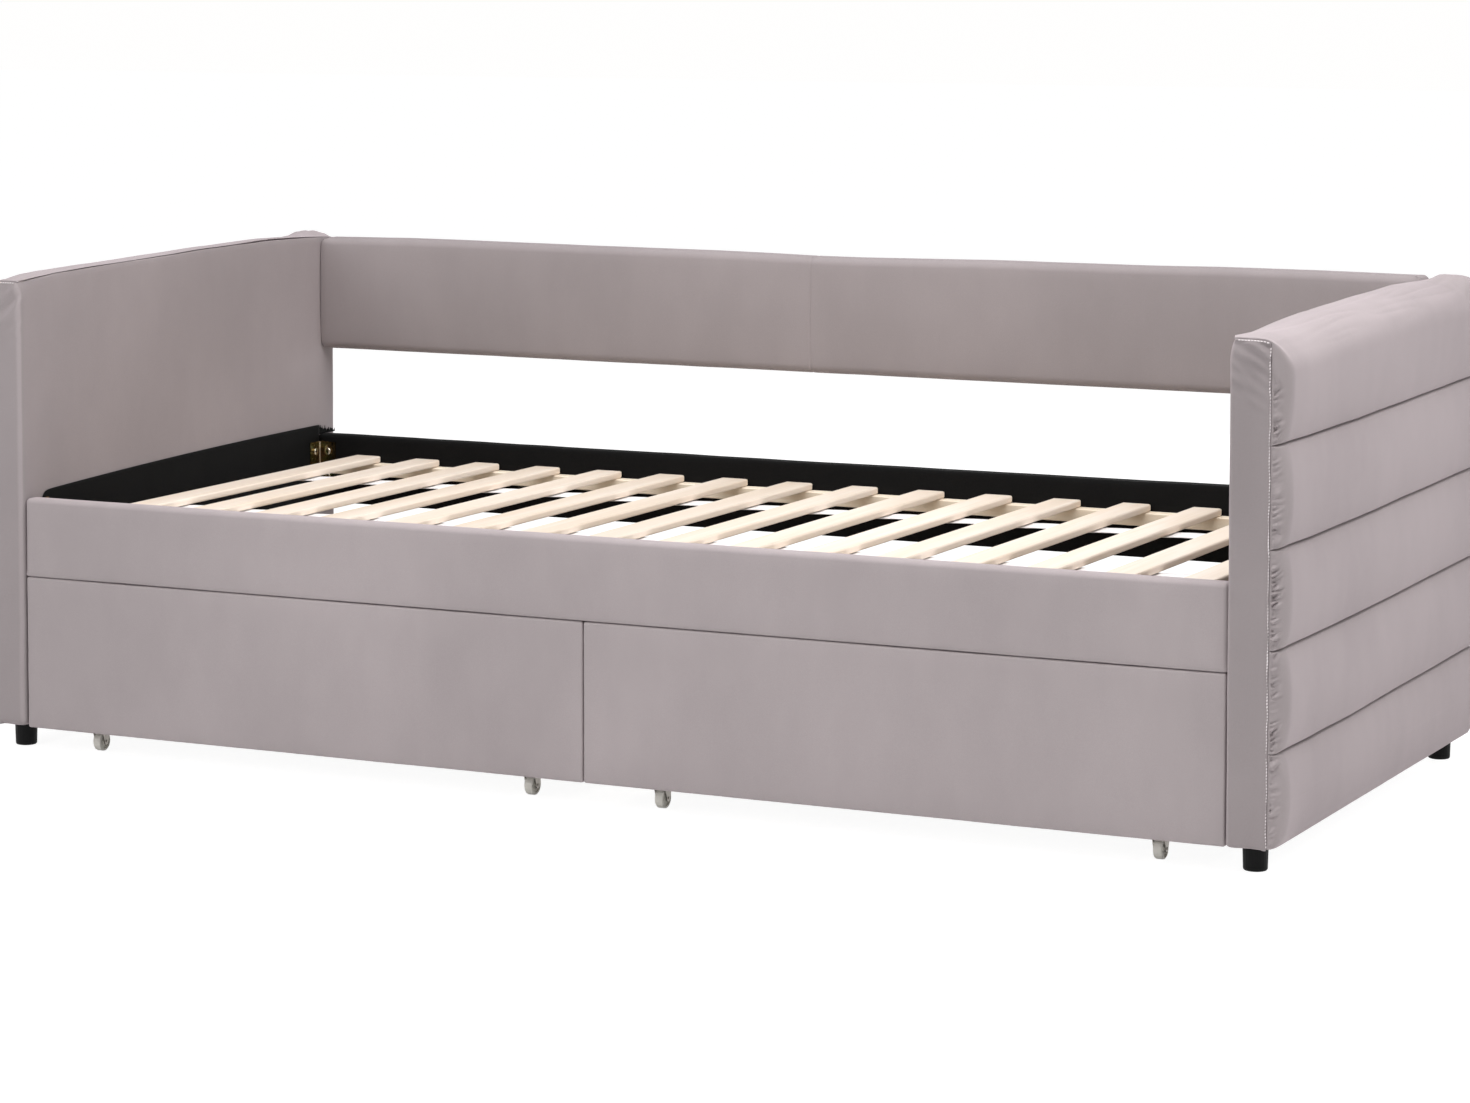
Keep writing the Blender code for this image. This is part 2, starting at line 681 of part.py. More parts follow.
def fork_mesh():
    """A pressed steel fork with its riveted axle. The origin is on the axle, at mid width."""
    inner = WHEEL_WIDTH / 2 + FORK_CLEARANCE
    outer = inner + FORK_SHEET
    top = FORK_TOP - WHEEL_RADIUS
    low = -FORK_TIP - OVERRUN
    channel = [
        (-outer, low),
        (-inner, low),
        (-inner, top - FORK_SHEET),
        (inner, top - FORK_SHEET),
        (inner, low),
        (outer, low),
        (outer, top),
        (-outer, top),
    ]
    upright = Matrix.Rotation(math.pi / 2, 4, "X")
    fork = add_object("fork", outline_mesh("fork", channel, FORK_LENGTH, upright), None)
    cheek = [(FORK_LENGTH / 2, top + OVERRUN), (-FORK_LENGTH / 2, top + OVERRUN), (-FORK_LENGTH / 2, top / 2)]
    for step in range(2 * FORK_STEPS + 1):
        angle = math.pi * (1 + step / (2 * FORK_STEPS))
        cheek.append((FORK_TIP * math.cos(angle), FORK_TIP * math.sin(angle)))
    cheek.append((FORK_LENGTH / 2, top / 2))
    side_shape = add_object("cheek", outline_mesh("cheek", cheek, 2 * (outer + OVERRUN), ALONG_X), None)
    plate = add_object("plate", block_mesh("plate", (FORK_PLATE_WIDTH, FORK_PLATE_LENGTH, FORK_SHEET)), None)
    plate.location = (0, 0, top - FORK_SHEET / 2)
    axle_length = 2 * (outer + AXLE_HEAD)
    lengthwise = Matrix.Rotation(math.pi / 2, 4, "Y")
    axle_mesh = cylinder_mesh("axle", AXLE_RADIUS, axle_length, SMALL_ROUND_STEPS, lengthwise)
    axle = add_object("axle", axle_mesh, None)
    combine(fork, side_shape, "INTERSECT")
    combine(fork, plate, "UNION")
    combine(fork, axle, "UNION")
    return baked_with_cutters(fork, "castor_fork", [side_shape, plate, axle])


def add_drawers():
    """Each drawer: an upholstered front, a plywood box, its bottom board and four castors."""
    wheel = wheel_mesh()
    fork = fork_mesh()
    for side_name, side in SIDES:
        centre = side * DRAWER_CENTRE
        origin = add_empty(f"drawer_{side_name}", (centre, FRONT + BOX_FRONT_Y, BOTTOM_LIFT))
        add_block(
            f"drawer_front_{side_name}",
            VELVET,
            (centre - FRONT_WIDTH / 2, FRONT + FRONT_SETBACK, FOOT_HEIGHT),
            (centre + FRONT_WIDTH / 2, FRONT + FRONT_BACK_Y, FRONT_TOP),
            FRONT_EDGE,
            3,
            origin,
        )
        wall_bottom = BOTTOM_LIFT + BOTTOM_THICKNESS + GAP
        add_box_walls(f"drawer_box_{side_name}", centre, wall_bottom, origin)
        add_block(
            f"drawer_bottom_{side_name}",
            HARDBOARD,
            (centre - BOX_WIDTH / 2, FRONT + BOX_FRONT_Y, BOTTOM_LIFT),
            (centre + BOX_WIDTH / 2, FRONT + BOX_REAR_Y, BOTTOM_LIFT + BOTTOM_THICKNESS),
            parent=origin,
        )
        for end_name, place in (("front", CASTOR_FRONT_Y), ("rear", BOX_REAR_Y - CASTOR_REAR_INSET)):
            for hand_name, hand in SIDES:
                castor_x = centre + hand * (BOX_WIDTH / 2 - CASTOR_SIDE_INSET)
                axle_place = Vector((castor_x, FRONT + place, WHEEL_RADIUS))
                tag = f"{side_name}_{end_name}_{hand_name}"
                local = axle_place - origin.location
                add_object(f"castor_fork_{tag}", fork, FORK_STEEL, local, origin)
                add_object(f"castor_wheel_{tag}", wheel, WHEEL_PLASTIC, local, origin)


def add_box_walls(name, centre, wall_bottom, origin):
    """Four walls as one open shell, made thick inwards."""
    low = Vector((centre - BOX_WIDTH / 2, FRONT + BOX_FRONT_Y, wall_bottom))
    high = Vector((centre + BOX_WIDTH / 2, FRONT + BOX_REAR_Y, wall_bottom + BOX_HEIGHT))
    walls = add_block(name, PLYWOOD, low, high, parent=origin)
    shape = bmesh.new()
    shape.from_mesh(walls.data)
    shape.normal_update()
    flat = [face for face in shape.faces if abs(face.normal.z) > abs(face.normal.x) + abs(face.normal.y)]
    bmesh.ops.delete(shape, geom=flat, context="FACES_ONLY")
    shape.to_mesh(walls.data)
    shape.free()
    shell = walls.modifiers.new("wall_thickness", "SOLIDIFY")
    shell.thickness = BOX_WALL
    shell.offset = -1
    shell.use_even_offset = True


add_arms()
add_back_panel()
add_rails()
add_linings()
add_slatted_base()
add_brackets()
add_feet()
add_drawers()
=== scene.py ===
"""Looks of the storage daybed: velvet upholstery, channelled arm pads, linings, webbing and materials.

Lengths are in metres. On the arms, their linings and their stitches, y counts back from the arms'
front faces and "out" counts outwards from an arm's inner face. Other places are the frame's own.
"""

import json
import math

import bmesh
import bpy
import numpy as np
from mathutils import Matrix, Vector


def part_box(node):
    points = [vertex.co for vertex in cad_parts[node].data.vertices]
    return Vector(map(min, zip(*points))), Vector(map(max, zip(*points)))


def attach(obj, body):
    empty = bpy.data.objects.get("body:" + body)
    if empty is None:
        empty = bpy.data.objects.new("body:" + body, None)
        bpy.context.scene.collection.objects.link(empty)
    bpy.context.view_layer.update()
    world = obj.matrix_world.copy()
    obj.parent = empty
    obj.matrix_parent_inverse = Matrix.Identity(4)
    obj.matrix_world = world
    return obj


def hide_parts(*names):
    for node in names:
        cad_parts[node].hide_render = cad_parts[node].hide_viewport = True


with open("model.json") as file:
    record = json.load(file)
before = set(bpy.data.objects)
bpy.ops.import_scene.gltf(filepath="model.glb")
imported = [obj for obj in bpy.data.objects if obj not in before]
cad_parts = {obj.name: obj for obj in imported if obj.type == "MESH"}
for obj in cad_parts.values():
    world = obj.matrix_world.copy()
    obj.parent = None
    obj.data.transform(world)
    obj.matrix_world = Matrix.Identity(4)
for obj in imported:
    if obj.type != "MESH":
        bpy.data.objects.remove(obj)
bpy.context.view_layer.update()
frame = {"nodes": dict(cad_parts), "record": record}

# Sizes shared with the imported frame
HALF_WELL = 1.015
FRONT = -0.5
DEPTH = 1.0
FOOT_HEIGHT = 0.038
ARM_THICKNESS = 0.060
ARM_TOP = 0.752
SEAMS = (0.6075, 0.4615, 0.3195, 0.1740)
SIDES = (("left", -1), ("right", 1))

# Camera, as fitted to the photograph
CAMERA_PLACE = (2.91615, -6.18794, 1.31025)
CAMERA_RIGHT = (0.88503514, 0.46551847, -0.00231581)
CAMERA_UP = (-0.03243807, 0.06663166, 0.99725022)
CAMERA_BACK = (0.4643927, -0.88252636, 0.07407188)
CAMERA_LENS = 104.6315
CAMERA_SHIFT = (0.1361, -0.2000)
SENSOR_WIDTH = 36.0

# Limits for telling a slanting normal from a straight one, and for safe division
TINY = 1e-6
SAFE = 1e-12

# Tables of the noise, drawn once
TABLE = 4096
_random = np.random.RandomState(7)
GRADIENTS = _random.normal(size=(TABLE, 3))
GRADIENTS /= np.linalg.norm(GRADIENTS, axis=1, keepdims=True)
ORDER = _random.permutation(TABLE)


def noise(places, scale=1.0, shift=0.0):
    """Smooth noise between about -0.6 and 0.6. scale is one number or one for each axis."""
    p = np.asarray(places, float) * scale + shift
    cell = np.floor(p).astype(int)
    part = p - cell
    ease = part**3 * (part * (part * 6 - 15) + 10)
    total = np.zeros(p.shape[:-1])
    for step in map(np.array, np.ndindex(2, 2, 2)):
        corner = cell + step
        key = ORDER[corner[..., 2] % TABLE]
        key = ORDER[(corner[..., 1] + key) % TABLE]
        key = ORDER[(corner[..., 0] + key) % TABLE]
        weight = np.where(step == 1, ease, 1 - ease).prod(axis=-1)
        total += weight * (GRADIENTS[key] * (part - step)).sum(axis=-1)
    return total


def smooth(x, low, high):
    """0 below low, 1 above high, with an eased change between."""
    t = np.clip((np.asarray(x, float) - low) / (high - low), 0, 1)
    return t * t * (3 - 2 * t)


def points_at(x, y, z):
    """Points from one array or number for each axis."""
    return np.stack(np.broadcast_arrays(x, y, z), axis=-1)


# Materials

VELVET_COLOUR = (0.375, 0.333, 0.338)
# Where, over the turn of a face, the painted edge highlight and the painted side shade lie
PAINTED_TURN_PLACES = (0.10, 0.42, 0.74, 0.90)
GRAIN_STRETCH = 0.045
RING_COUNT = 34.0


class Tree:
    """Short way to build a node tree."""

    def __init__(self, tree):
        self.tree = tree

    def feed(self, value, socket):
        """Links a socket to a source, or sets it to a number or colour."""
        if hasattr(value, "links"):
            self.tree.links.new(value, socket)
        else:
            socket.default_value = (*value, 1.0) if socket.type == "RGBA" else value

    def add(self, kind, inputs=(), **settings):
        """A node with its settings and its inputs, by name or number."""
        node = self.tree.nodes.new(kind)
        for name, value in settings.items():
            setattr(node, name, value)
        for key, value in dict(inputs).items():
            self.feed(value, node.inputs[key])
        return node

    def math(self, kind, one, two=0.0):
        return self.add("ShaderNodeMath", {0: one, 1: two}, operation=kind).outputs["Value"]

    def spread(self, source, low, high):
        """source, from 0 to 1, made to run from low to high."""
        inputs = {"Value": source, "To Min": low, "To Max": high}
        return self.add("ShaderNodeMapRange", inputs).outputs["Result"]


class Nodes(Tree):
    """The node tree of one new material."""

    def __init__(self, name, roughness, metallic=0.0):
        self.material = bpy.data.materials.new(name)
        self.material.use_nodes = True
        super().__init__(self.material.node_tree)
        self.shader = self.tree.nodes["Principled BSDF"]
        self.set(Roughness=roughness, Metallic=metallic)

    def set(self, **values):
        """Sets or links inputs of the material's shader."""
        for name, value in values.items():
            self.feed(value, self.shader.inputs[name.replace("_", " ")])

    def coordinates(self, scale=(1, 1, 1)):
        inputs = {"Vector": self.add("ShaderNodeTexCoord").outputs["Object"], "Scale": scale}
        return self.add("ShaderNodeMapping", inputs).outputs["Vector"]

    def noise(self, scale, detail=2.0, roughness=0.5, stretch=(1, 1, 1), distortion=0.0):
        inputs = {"Scale": scale, "Detail": detail, "Roughness": roughness, "Distortion": distortion}
        inputs["Vector"] = self.coordinates(stretch)
        return self.add("ShaderNodeTexNoise", inputs).outputs["Fac"]

    def ramp(self, source, stops):
        """Colours over source, as (place, colour) stops."""
        node = self.add("ShaderNodeValToRGB", {"Fac": source})
        elements = node.color_ramp.elements
        while len(elements) < len(stops):
            elements.new(0.5)
        for element, (place, colour) in zip(elements, stops):
            element.position = place
            element.color = (*colour, 1.0)
        return node.outputs["Color"]

    def levels(self, source, *stops):
        """Greys over source, as (place, level) stops."""
        return self.ramp(source, [(place, (level,) * 3) for place, level in stops])

    def mix(self, one, two, share, kind="MIX"):
        node = self.add("ShaderNodeMix", {"Factor": share}, data_type="RGBA", blend_type=kind)
        for colour, name in ((one, "A"), (two, "B")):
            self.feed(colour, next(s for s in node.inputs if s.name == name and s.type == "RGBA"))
        return next(s for s in node.outputs if s.type == "RGBA")

    def times(self, one, two):
        return self.mix(one, two, 1.0, "MULTIPLY")

    def facing_x(self):
        """0 on faces that look up, forward or back, 1 on those that look along X."""
        normal = self.add("ShaderNodeTexCoord").outputs["Normal"]
        return self.math("ABSOLUTE", self.add("ShaderNodeSeparateXYZ", {"Vector": normal}).outputs["X"])

    def bump(self, *heights):
        """heights are (source, strength, distance) one over the other."""
        last = {}
        for source, strength, distance in heights:
            inputs = {"Strength": strength, "Distance": distance, "Height": source, **last}
            last = {"Normal": self.add("ShaderNodeBump", inputs).outputs["Normal"]}
        self.set(**last)


def velvet(name, painted_lightness=1.0, sheen=0.38, edge_highlight=None, side_shade=None):
    """Short pile: soft sheen, cloudy patches and a fine grain. The first level sets how light this copy is
    drawn: painted light and shade for its part.

    The other two levels, where given, paint a highlight on rounded edges and paint shade on faces that look
    along X.
    """
    most = max(v for v in (painted_lightness, edge_highlight, side_shade) if v)
    m = Nodes(name, 0.82)
    m.set(Sheen_Weight=sheen, Sheen_Roughness=0.45, Sheen_Tint=(0.98, 0.83, 0.90))
    base = tuple(most * c for c in VELVET_COLOUR)
    clouds = m.levels(m.noise(3.2, 3.0, 0.55, (1.0, 1.0, 0.75)), (0.35, 0.93), (0.65, 1.05))
    streaks = m.levels(m.noise(22.0, 3.0, 0.6, (1.0, 1.0, 0.4)), (0.35, 0.985), (0.65, 1.012))
    pile = m.noise(1500.0, 2.0, 0.6)
    flecks = m.levels(pile, (0.3, 0.93), (0.7, 1.06))
    tone = m.times(m.times(clouds, streaks), flecks)
    # Painted light: rounded edges drawn lighter, faces that look along X drawn darker
    if side_shade:
        painted_levels = zip(PAINTED_TURN_PLACES, (painted_lightness, edge_highlight, edge_highlight, side_shade))
        tone = m.times(tone, m.levels(m.facing_x(), *((place, painted_level / most) for place, painted_level in painted_levels)))
    m.set(Base_Color=m.times(base, tone), Specular_IOR_Level=0.22)
    m.set(Roughness=m.spread(m.noise(40.0, 2.0), 0.74, 0.90))
    m.bump((m.noise(14.0, 2.0, 0.5), 0.25, 0.0012), (pile, 0.22, 0.0003))
    return m.material


def lining_cloth():
    m = Nodes("lining_cloth_black", 0.92)
    fibres = m.noise(900.0, 4.0, 0.7)
    patches = m.noise(30.0, 3.0, 0.6)
    worn = m.levels(fibres, (0.35, 0), (0.7, 1))
    m.set(Base_Color=m.mix((0.0035, 0.0035, 0.0035), (0.008, 0.008, 0.0082), worn))
    m.set(Roughness=m.spread(patches, 0.85, 0.97), Specular_IOR_Level=0.12)
    m.bump((patches, 0.3, 0.0015), (fibres, 0.3, 0.0003))
    return m.material


def wood(name, pale, dark, ring_scale, fibre_scale, length_axis="Y", contrast=1.0, painted_side_light=1.0):
    """Sawn wood with growth rings stretched along its length, fine fibres and a few small knots.

    The last argument paints light on the faces that look along X, drawing them lighter by that factor.
    """

    def stretched(share):
        """Scales of a pattern drawn out along the grain."""
        return tuple(share if axis == length_axis else 1.0 for axis in "XYZ")

    m = Nodes(name, 0.6)
    rings = m.noise(ring_scale, 4.0, 0.55, stretched(GRAIN_STRETCH), 0.6)
    swing = m.math("SINE", m.math("MULTIPLY", rings, RING_COUNT))
    bands = m.math("MULTIPLY", m.math("ADD", swing, 1.0), 0.5)
    fibres = m.noise(fibre_scale, 3.0, 0.65, stretched(0.3 * GRAIN_STRETCH))
    wide = m.noise(7.5, 1.0, 0.5, stretched(0.2 * GRAIN_STRETCH))
    tone = m.mix(pale, dark, m.math("MULTIPLY", bands, 0.30 * contrast))
    tone = m.mix(tone, dark, m.levels(fibres, (0.50, 0), (0.78, 0.40 * contrast)))
    tone = m.times(tone, m.ramp(wide, ((0.35, (0.90, 0.88, 0.85)), (0.65, (1.04, 1.03, 1.02)))))
    knots = m.add("ShaderNodeTexVoronoi", {"Vector": m.coordinates(stretched(0.55)), "Scale": 5.0})
    spot = m.levels(knots.outputs["Distance"], (0.012, 0.75), (0.045, 0.0))
    tone = m.mix(tone, tuple(0.42 * c for c in dark), spot)
    # Painted light: the faces that look along X drawn lighter
    if painted_side_light != 1.0:
        lit_sides = m.times(tone, (painted_side_light,) * 3)
        tone = m.mix(tone, lit_sides, m.levels(m.facing_x(), (0.4, 0), (0.8, 1)))
    m.set(Base_Color=tone, Roughness=m.spread(fibres, 0.5, 0.68))
    m.bump((bands, 0.08, 0.0004), (fibres, 0.18, 0.0004))
    return m.material


def zinc(name, gold, brown, green):
    """Yellow zinc plating in cloudy patches."""
    m = Nodes(name, 0.32, 1.0)
    patches = m.noise(60.0, 3.0, 0.6)
    m.set(Base_Color=m.ramp(patches, ((0.32, brown), (0.48, gold), (0.60, green), (0.72, brown))))
    m.set(Roughness=m.spread(m.noise(240.0, 3.0), 0.16, 0.32))
    m.bump((m.noise(500.0, 2.0), 0.12, 0.0002))
    return m.material


def plastic(name, colour, rough, gloss):
    m = Nodes(name, rough)
    fine = m.noise(900.0, 2.0, 0.6)
    wear = m.noise(45.0, 3.0, 0.6)
    m.set(Base_Color=m.mix(tuple(0.88 * c for c in colour), tuple(1.1 * c for c in colour), wear))
    m.set(Roughness=m.spread(wear, rough - 0.08, rough + 0.10), Specular_IOR_Level=gloss)
    m.bump((fine, 0.12, 0.0002))
    return m.material


def pressed_steel():
    m = Nodes("fork_grey_steel", 0.38, 1.0)
    brushed = m.noise(300.0, 3.0, 0.6, (1.0, 1.0, 0.12))
    m.set(Base_Color=m.ramp(brushed, ((0.3, (0.24, 0.22, 0.20)), (0.7, (0.40, 0.37, 0.34)))))
    m.set(Roughness=m.spread(brushed, 0.28, 0.46))
    m.bump((brushed, 0.12, 0.0002))
    return m.material


def woven_band():
    """White webbing: fine lengthwise cords crossed by the weft."""
    m = Nodes("webbing_white", 0.8)
    threads = []
    for direction, scale, distortion in (("Y", 160.0, 0.6), ("X", 240.0, 0.0)):
        inputs = {"Vector": m.coordinates(), "Scale": scale, "Distortion": distortion}
        threads.append(m.add("ShaderNodeTexWave", inputs, bands_direction=direction).outputs["Fac"])
    cords = m.math("MULTIPLY", *threads)
    m.set(Base_Color=m.mix((0.84, 0.82, 0.82), (0.97, 0.95, 0.95), cords), Sheen_Weight=0.2)
    m.bump((cords, 0.5, 0.0005))
    return m.material


def hardboard():
    m = Nodes("hardboard_pale", 0.55)
    fibres = m.noise(260.0, 5.0, 0.75)
    m.set(Base_Color=m.ramp(fibres, ((0.3, (0.58, 0.55, 0.50)), (0.7, (0.74, 0.72, 0.68)))))
    m.set(Roughness=m.spread(fibres, 0.48, 0.66))
    m.bump((fibres, 0.15, 0.0003))
    return m.material


# Pale thread, drawn light enough that the stitches also paint the highlight along each seam's lit edge
def thread():
    m = Nodes("thread_pale_painted_highlight", 0.7)
    twist = m.noise(1600.0, 2.0, 0.5)
    m.set(Base_Color=m.mix((0.80, 0.74, 0.75), (0.95, 0.90, 0.91), twist), Sheen_Weight=0.3)
    m.bump((twist, 0.3, 0.0002))
    return m.material


# Lighter and darker copies of one velvet, one for each part: painted light and painted shade
VELVET = velvet("velvet_mauve")
VELVET_PAD = velvet("velvet_mauve_pad", 0.945)
VELVET_ARMS = {
    "left": velvet("velvet_mauve_arm_left", 0.86, edge_highlight=0.97, side_shade=0.78),
    "right": velvet("velvet_mauve_arm_right", 0.82, edge_highlight=0.86, side_shade=0.78),
}
VELVET_BACK = velvet("velvet_mauve_back", 0.80, 0.16)
LINING = lining_cloth()
LEDGE_PINE = wood("pine_ledge", (0.88, 0.79, 0.66), (0.72, 0.55, 0.38), 14.0, 210.0, "X")
# A much lighter copy of the zinc for the brackets' bends and bolts' rims: painted highlights
ZINC_HIGHLIGHT = zinc("zinc_painted_highlight", (0.86, 0.80, 0.68), (0.62, 0.54, 0.42), (0.74, 0.74, 0.60))
WEBBING = woven_band()
THREAD_AND_HIGHLIGHT = thread()

CAD_MATERIALS = {
    # The slats' sides are drawn lighter than their tops: painted light
    "pine": wood("pine_pale", (0.80, 0.715, 0.63), (0.72, 0.58, 0.44), 14.0, 210.0, painted_side_light=1.22),
    "plywood": wood("plywood_birch", (0.74, 0.61, 0.44), (0.56, 0.42, 0.27), 9.0, 180.0, "X", 0.7),
    "hardboard": hardboard(),
    # The brackets' zinc is drawn dark: painted shade for the dark well it reflects
    "zinc": zinc("zinc_yellow", (0.34, 0.25, 0.14), (0.18, 0.11, 0.06), (0.20, 0.23, 0.11)),
    "fork_steel": pressed_steel(),
    "wheel_plastic": plastic("wheel_pale", (0.80, 0.78, 0.72), 0.45, 0.5),
    "foot_plastic": plastic("foot_black", (0.007, 0.007, 0.0074), 0.5, 0.12),
}


def dress_cad_nodes():
    """The rigid nodes stay as they are and take a finer material."""
    for entry in frame["record"]["subparts"]:
        node, material = entry["node"], CAD_MATERIALS.get(entry["material_slot"])
        if material:
            slots = frame["nodes"][node].data.materials
            slots.clear()
            slots.append(LEDGE_PINE if node.startswith("ledge") else material)


# Object and mesh helpers

SHARP_ANGLE = math.radians(52)
ROUND_STEPS = 6
RIPPLES = ((0.0005, 9.0, 3.1), (0.00025, 34.0, 8.7))


def add_object(name, data):
    obj = bpy.data.objects.new(name, data)
    bpy.context.scene.collection.objects.link(obj)
    return obj


def add_piece(name, points, faces, material, body, nodes=()):
    """A piece from points and faces, shaded smooth, riding on a body and standing for CAD nodes."""
    mesh = bpy.data.meshes.new(name)
    mesh.from_pydata([tuple(p) for p in points], [], faces)
    shape = bmesh.new()
    shape.from_mesh(mesh)
    bmesh.ops.recalc_face_normals(shape, faces=shape.faces)
    shape.to_mesh(mesh)
    shape.free()
    mesh.shade_smooth()
    mesh.set_sharp_from_angle(angle=SHARP_ANGLE)
    mesh.materials.append(material)
    obj = add_object(name, mesh)
    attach(obj, body)
    if nodes:
        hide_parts(*nodes)
    return obj


def add_cloth(name, grid, thickness, modifier, material, nodes):
    """A thin cloth on the frame from an open grid of places, closed by Solidify."""
    rows, columns = grid.shape[:2]
    faces = [
        (r * columns + c, r * columns + c + 1, (r + 1) * columns + c + 1, (r + 1) * columns + c)
        for r in range(rows - 1)
        for c in range(columns - 1)
    ]
    piece = add_piece(name, grid.reshape(-1, 3), faces, material, "frame", nodes)
    shell = piece.modifiers.new(modifier, "SOLIDIFY")
    shell.thickness = thickness
    shell.offset = 0
    return piece


def grid_normals(grid):
    across = np.gradient(grid, axis=1)
    along = np.gradient(grid, axis=0)
    normal = np.cross(across, along)
    return normal / np.maximum(np.linalg.norm(normal, axis=-1, keepdims=True), SAFE)


def belt(one, two, count):
    """Faces between two closed rings, whose points are numbered from one and from two."""
    return [(one + j, one + (j + 1) % count, two + (j + 1) % count, two + j) for j in range(count)]


def loft_faces(rows, columns):
    """Faces of a closed skin over rows of closed rings, with a flat cap at each end."""
    faces = []
    for r in range(rows - 1):
        faces.extend(belt(r * columns, (r + 1) * columns, columns))
    faces.append(tuple(range(columns)))
    faces.append(tuple(range((rows - 1) * columns, rows * columns)))
    return faces


def axis_lines(low, high, radius, step, extra):
    """Grid lines along one axis, close together on the rounded ends."""
    ends = [radius * (1 - math.cos(math.pi / 2 * k / ROUND_STEPS)) for k in range(ROUND_STEPS + 1)]
    middle_low, middle_high = low + radius, high - radius
    count = max(int((middle_high - middle_low) / step), 1)
    middle = [middle_low + (middle_high - middle_low) * k / count for k in range(1, count)]
    lines = [low + e for e in ends] + middle + [high - e for e in reversed(ends)] + list(extra)
    return np.array(sorted(set(round(v, 6) for v in lines)))


def soft_box(low, high, radius, step, extra):
    """Points, outward normals and faces of a box with rounded edges and a fine grid on every side."""
    low, high = np.array(low, float), np.array(high, float)
    lines = [axis_lines(low[a], high[a], radius, step, extra[a]) for a in range(3)]
    counts = [len(v) for v in lines]
    index = {}
    raw = []

    def number(key):
        if key not in index:
            index[key] = len(raw)
            raw.append([lines[a][key[a]] for a in range(3)])
        return index[key]

    faces = []
    for axis in range(3):
        one, two = [a for a in range(3) if a != axis]
        for end in (0, counts[axis] - 1):
            for i, j in np.ndindex(counts[one] - 1, counts[two] - 1):
                corners = []
                for di, dj in ((0, 0), (1, 0), (1, 1), (0, 1)):
                    key = [0, 0, 0]
                    key[axis], key[one], key[two] = end, i + di, j + dj
                    corners.append(number(tuple(key)))
                faces.append(tuple(corners))
    raw = np.array(raw)
    core = np.clip(raw, low + radius, high - radius)
    away = raw - core
    length = np.linalg.norm(away, axis=1, keepdims=True)
    normals = away / np.maximum(length, SAFE)
    return core + normals * radius, normals, faces


def upholstered(
    name, low, high, radius, body, nodes, step, shape, extra=((), (), ()), fill=0.9, cloth=VELVET
):
    """A board wrapped in thin foam and velvet. shape moves its points, extra gives it more grid lines."""
    points, normals, faces = soft_box(low, high, radius, step, extra)
    ripple = sum(height * noise(points, scale, shift) for height, scale, shift in RIPPLES)
    points = shape(points + normals * ripple[:, None], normals)
    piece = add_piece(name, points, faces, cloth, body, nodes)


# Arms

COVER_RADII = {"left": 0.011, "right": 0.006}
FOLD_HEIGHTS = {"left": 0.0055, "right": 0.0072}
CRISP_RADIUS = 0.0016
LIP = 0.0025
FOAM_RISE, FOAM_ACROSS = 0.004, (0.006, 0.045)
SEAT_GAP = 0.0004
PAD_SIDE = ARM_THICKNESS + SEAT_GAP
HEM = PAD_SIDE + LIP
PAD_CROWN = 0.0245
VALLEY = 0.0105
FOOT_VALLEY = 0.003
PAD_FOOT = 0.0405
END_GAP = 0.0015
FRONT_ROLL, FRONT_ROLL_POWER = 0.024, 2.1
REAR_ROLL, ROLL_POWER = 0.018, 2.6
TOP_DROP, TOP_POWER = 0.055, 2.5
HEM_DROP, HEM_POWER = 0.020, 5.0
REAR_POWER, REAR_PLACES = 1.5, (0.92, 0.98)
SKIN_EDGE = 0.0005
TIP_INSET, TIP_LENGTH = 0.0085, 0.012
TOP_CHANNEL_SIDE = 0.107
CHANNEL_WIDTH = 0.142
EDGE_PLACES = (0, 0.05, 0.10, 0.20, 0.31, 0.45, 0.55, 0.78, 0.90, 0.97, 1.0)
INNER_EDGES = {
    "left": (0.7640, 0.7680, 0.7715, 0.7742, 0.7767, 0.7787, 0.7815, 0.7826, 0.7800, 0.7770, 0.7730),
    "right": (0.7575, 0.7570, 0.7575, 0.7618, 0.7670, 0.7690, 0.7705, 0.7733, 0.7710, 0.7695, 0.7690),
}
RISE_PLACES = (0, 0.03, 0.06, 0.12, 0.25, 0.88, 0.94, 0.97, 1.0)
TOP_RISE = (0, 0.003, 0.0045, 0.003, 0.001, 0.001, 0.006, 0.0095, 0.0065)
RISE_STARTS, RISE_ENDS = (0.004, 0.024), (0.060, 0.086)
SEAM_PLACES = (0, 0.004, 0.012, 0.024, 0.045, 0.08, 0.13, 0.35, 0.75, 1.0)
SEAM_RISE = (0, 0.0008, 0.0022, 0.0034, 0.0034, 0.0028, 0.0022, 0.0025, 0.0070, 0.0095)
SEAM_WAVER = 0.0012
SLIT_DEPTH, SLIT_WIDTH, SLIT_AT_ENDS = 0.0120, 0.0012, 0.0019
CROWN_BEND = 0.42
SWELL_CHANGE = 0.07
ON_SIDE, ON_TOP = (0.54, 0.66), (0.30, 0.52)

# The cover's grid: its step, and finer lines in its upper part, which has folds
COVER_STEP, FOLD_COLUMNS, FOLD_LOW, FOLD_STEP = 0.008, 18, 0.63, 0.0028

# The pad's grid: rows along the depth, columns over the top, down its side and on each other channel,
# more of them near a seam, and the places of the hidden seat
ROLL_ROWS, MIDDLE_ROWS = 22, 124
TOP_COLUMNS, SIDE_COLUMNS, CHANNEL_COLUMNS = 56, 50, 72
NEAR_SEAM = np.array(
    (0.0, 0.0004, 0.0008, 0.0012, 0.0017, 0.0023, 0.0031, 0.0042, 0.0058, 0.0080, 0.0110, 0.0150)
)
SEAT_PLACES = (PAD_SIDE, 0.052, 0.044, 0.036, 0.028, 0.020, 0.012, 0.006)

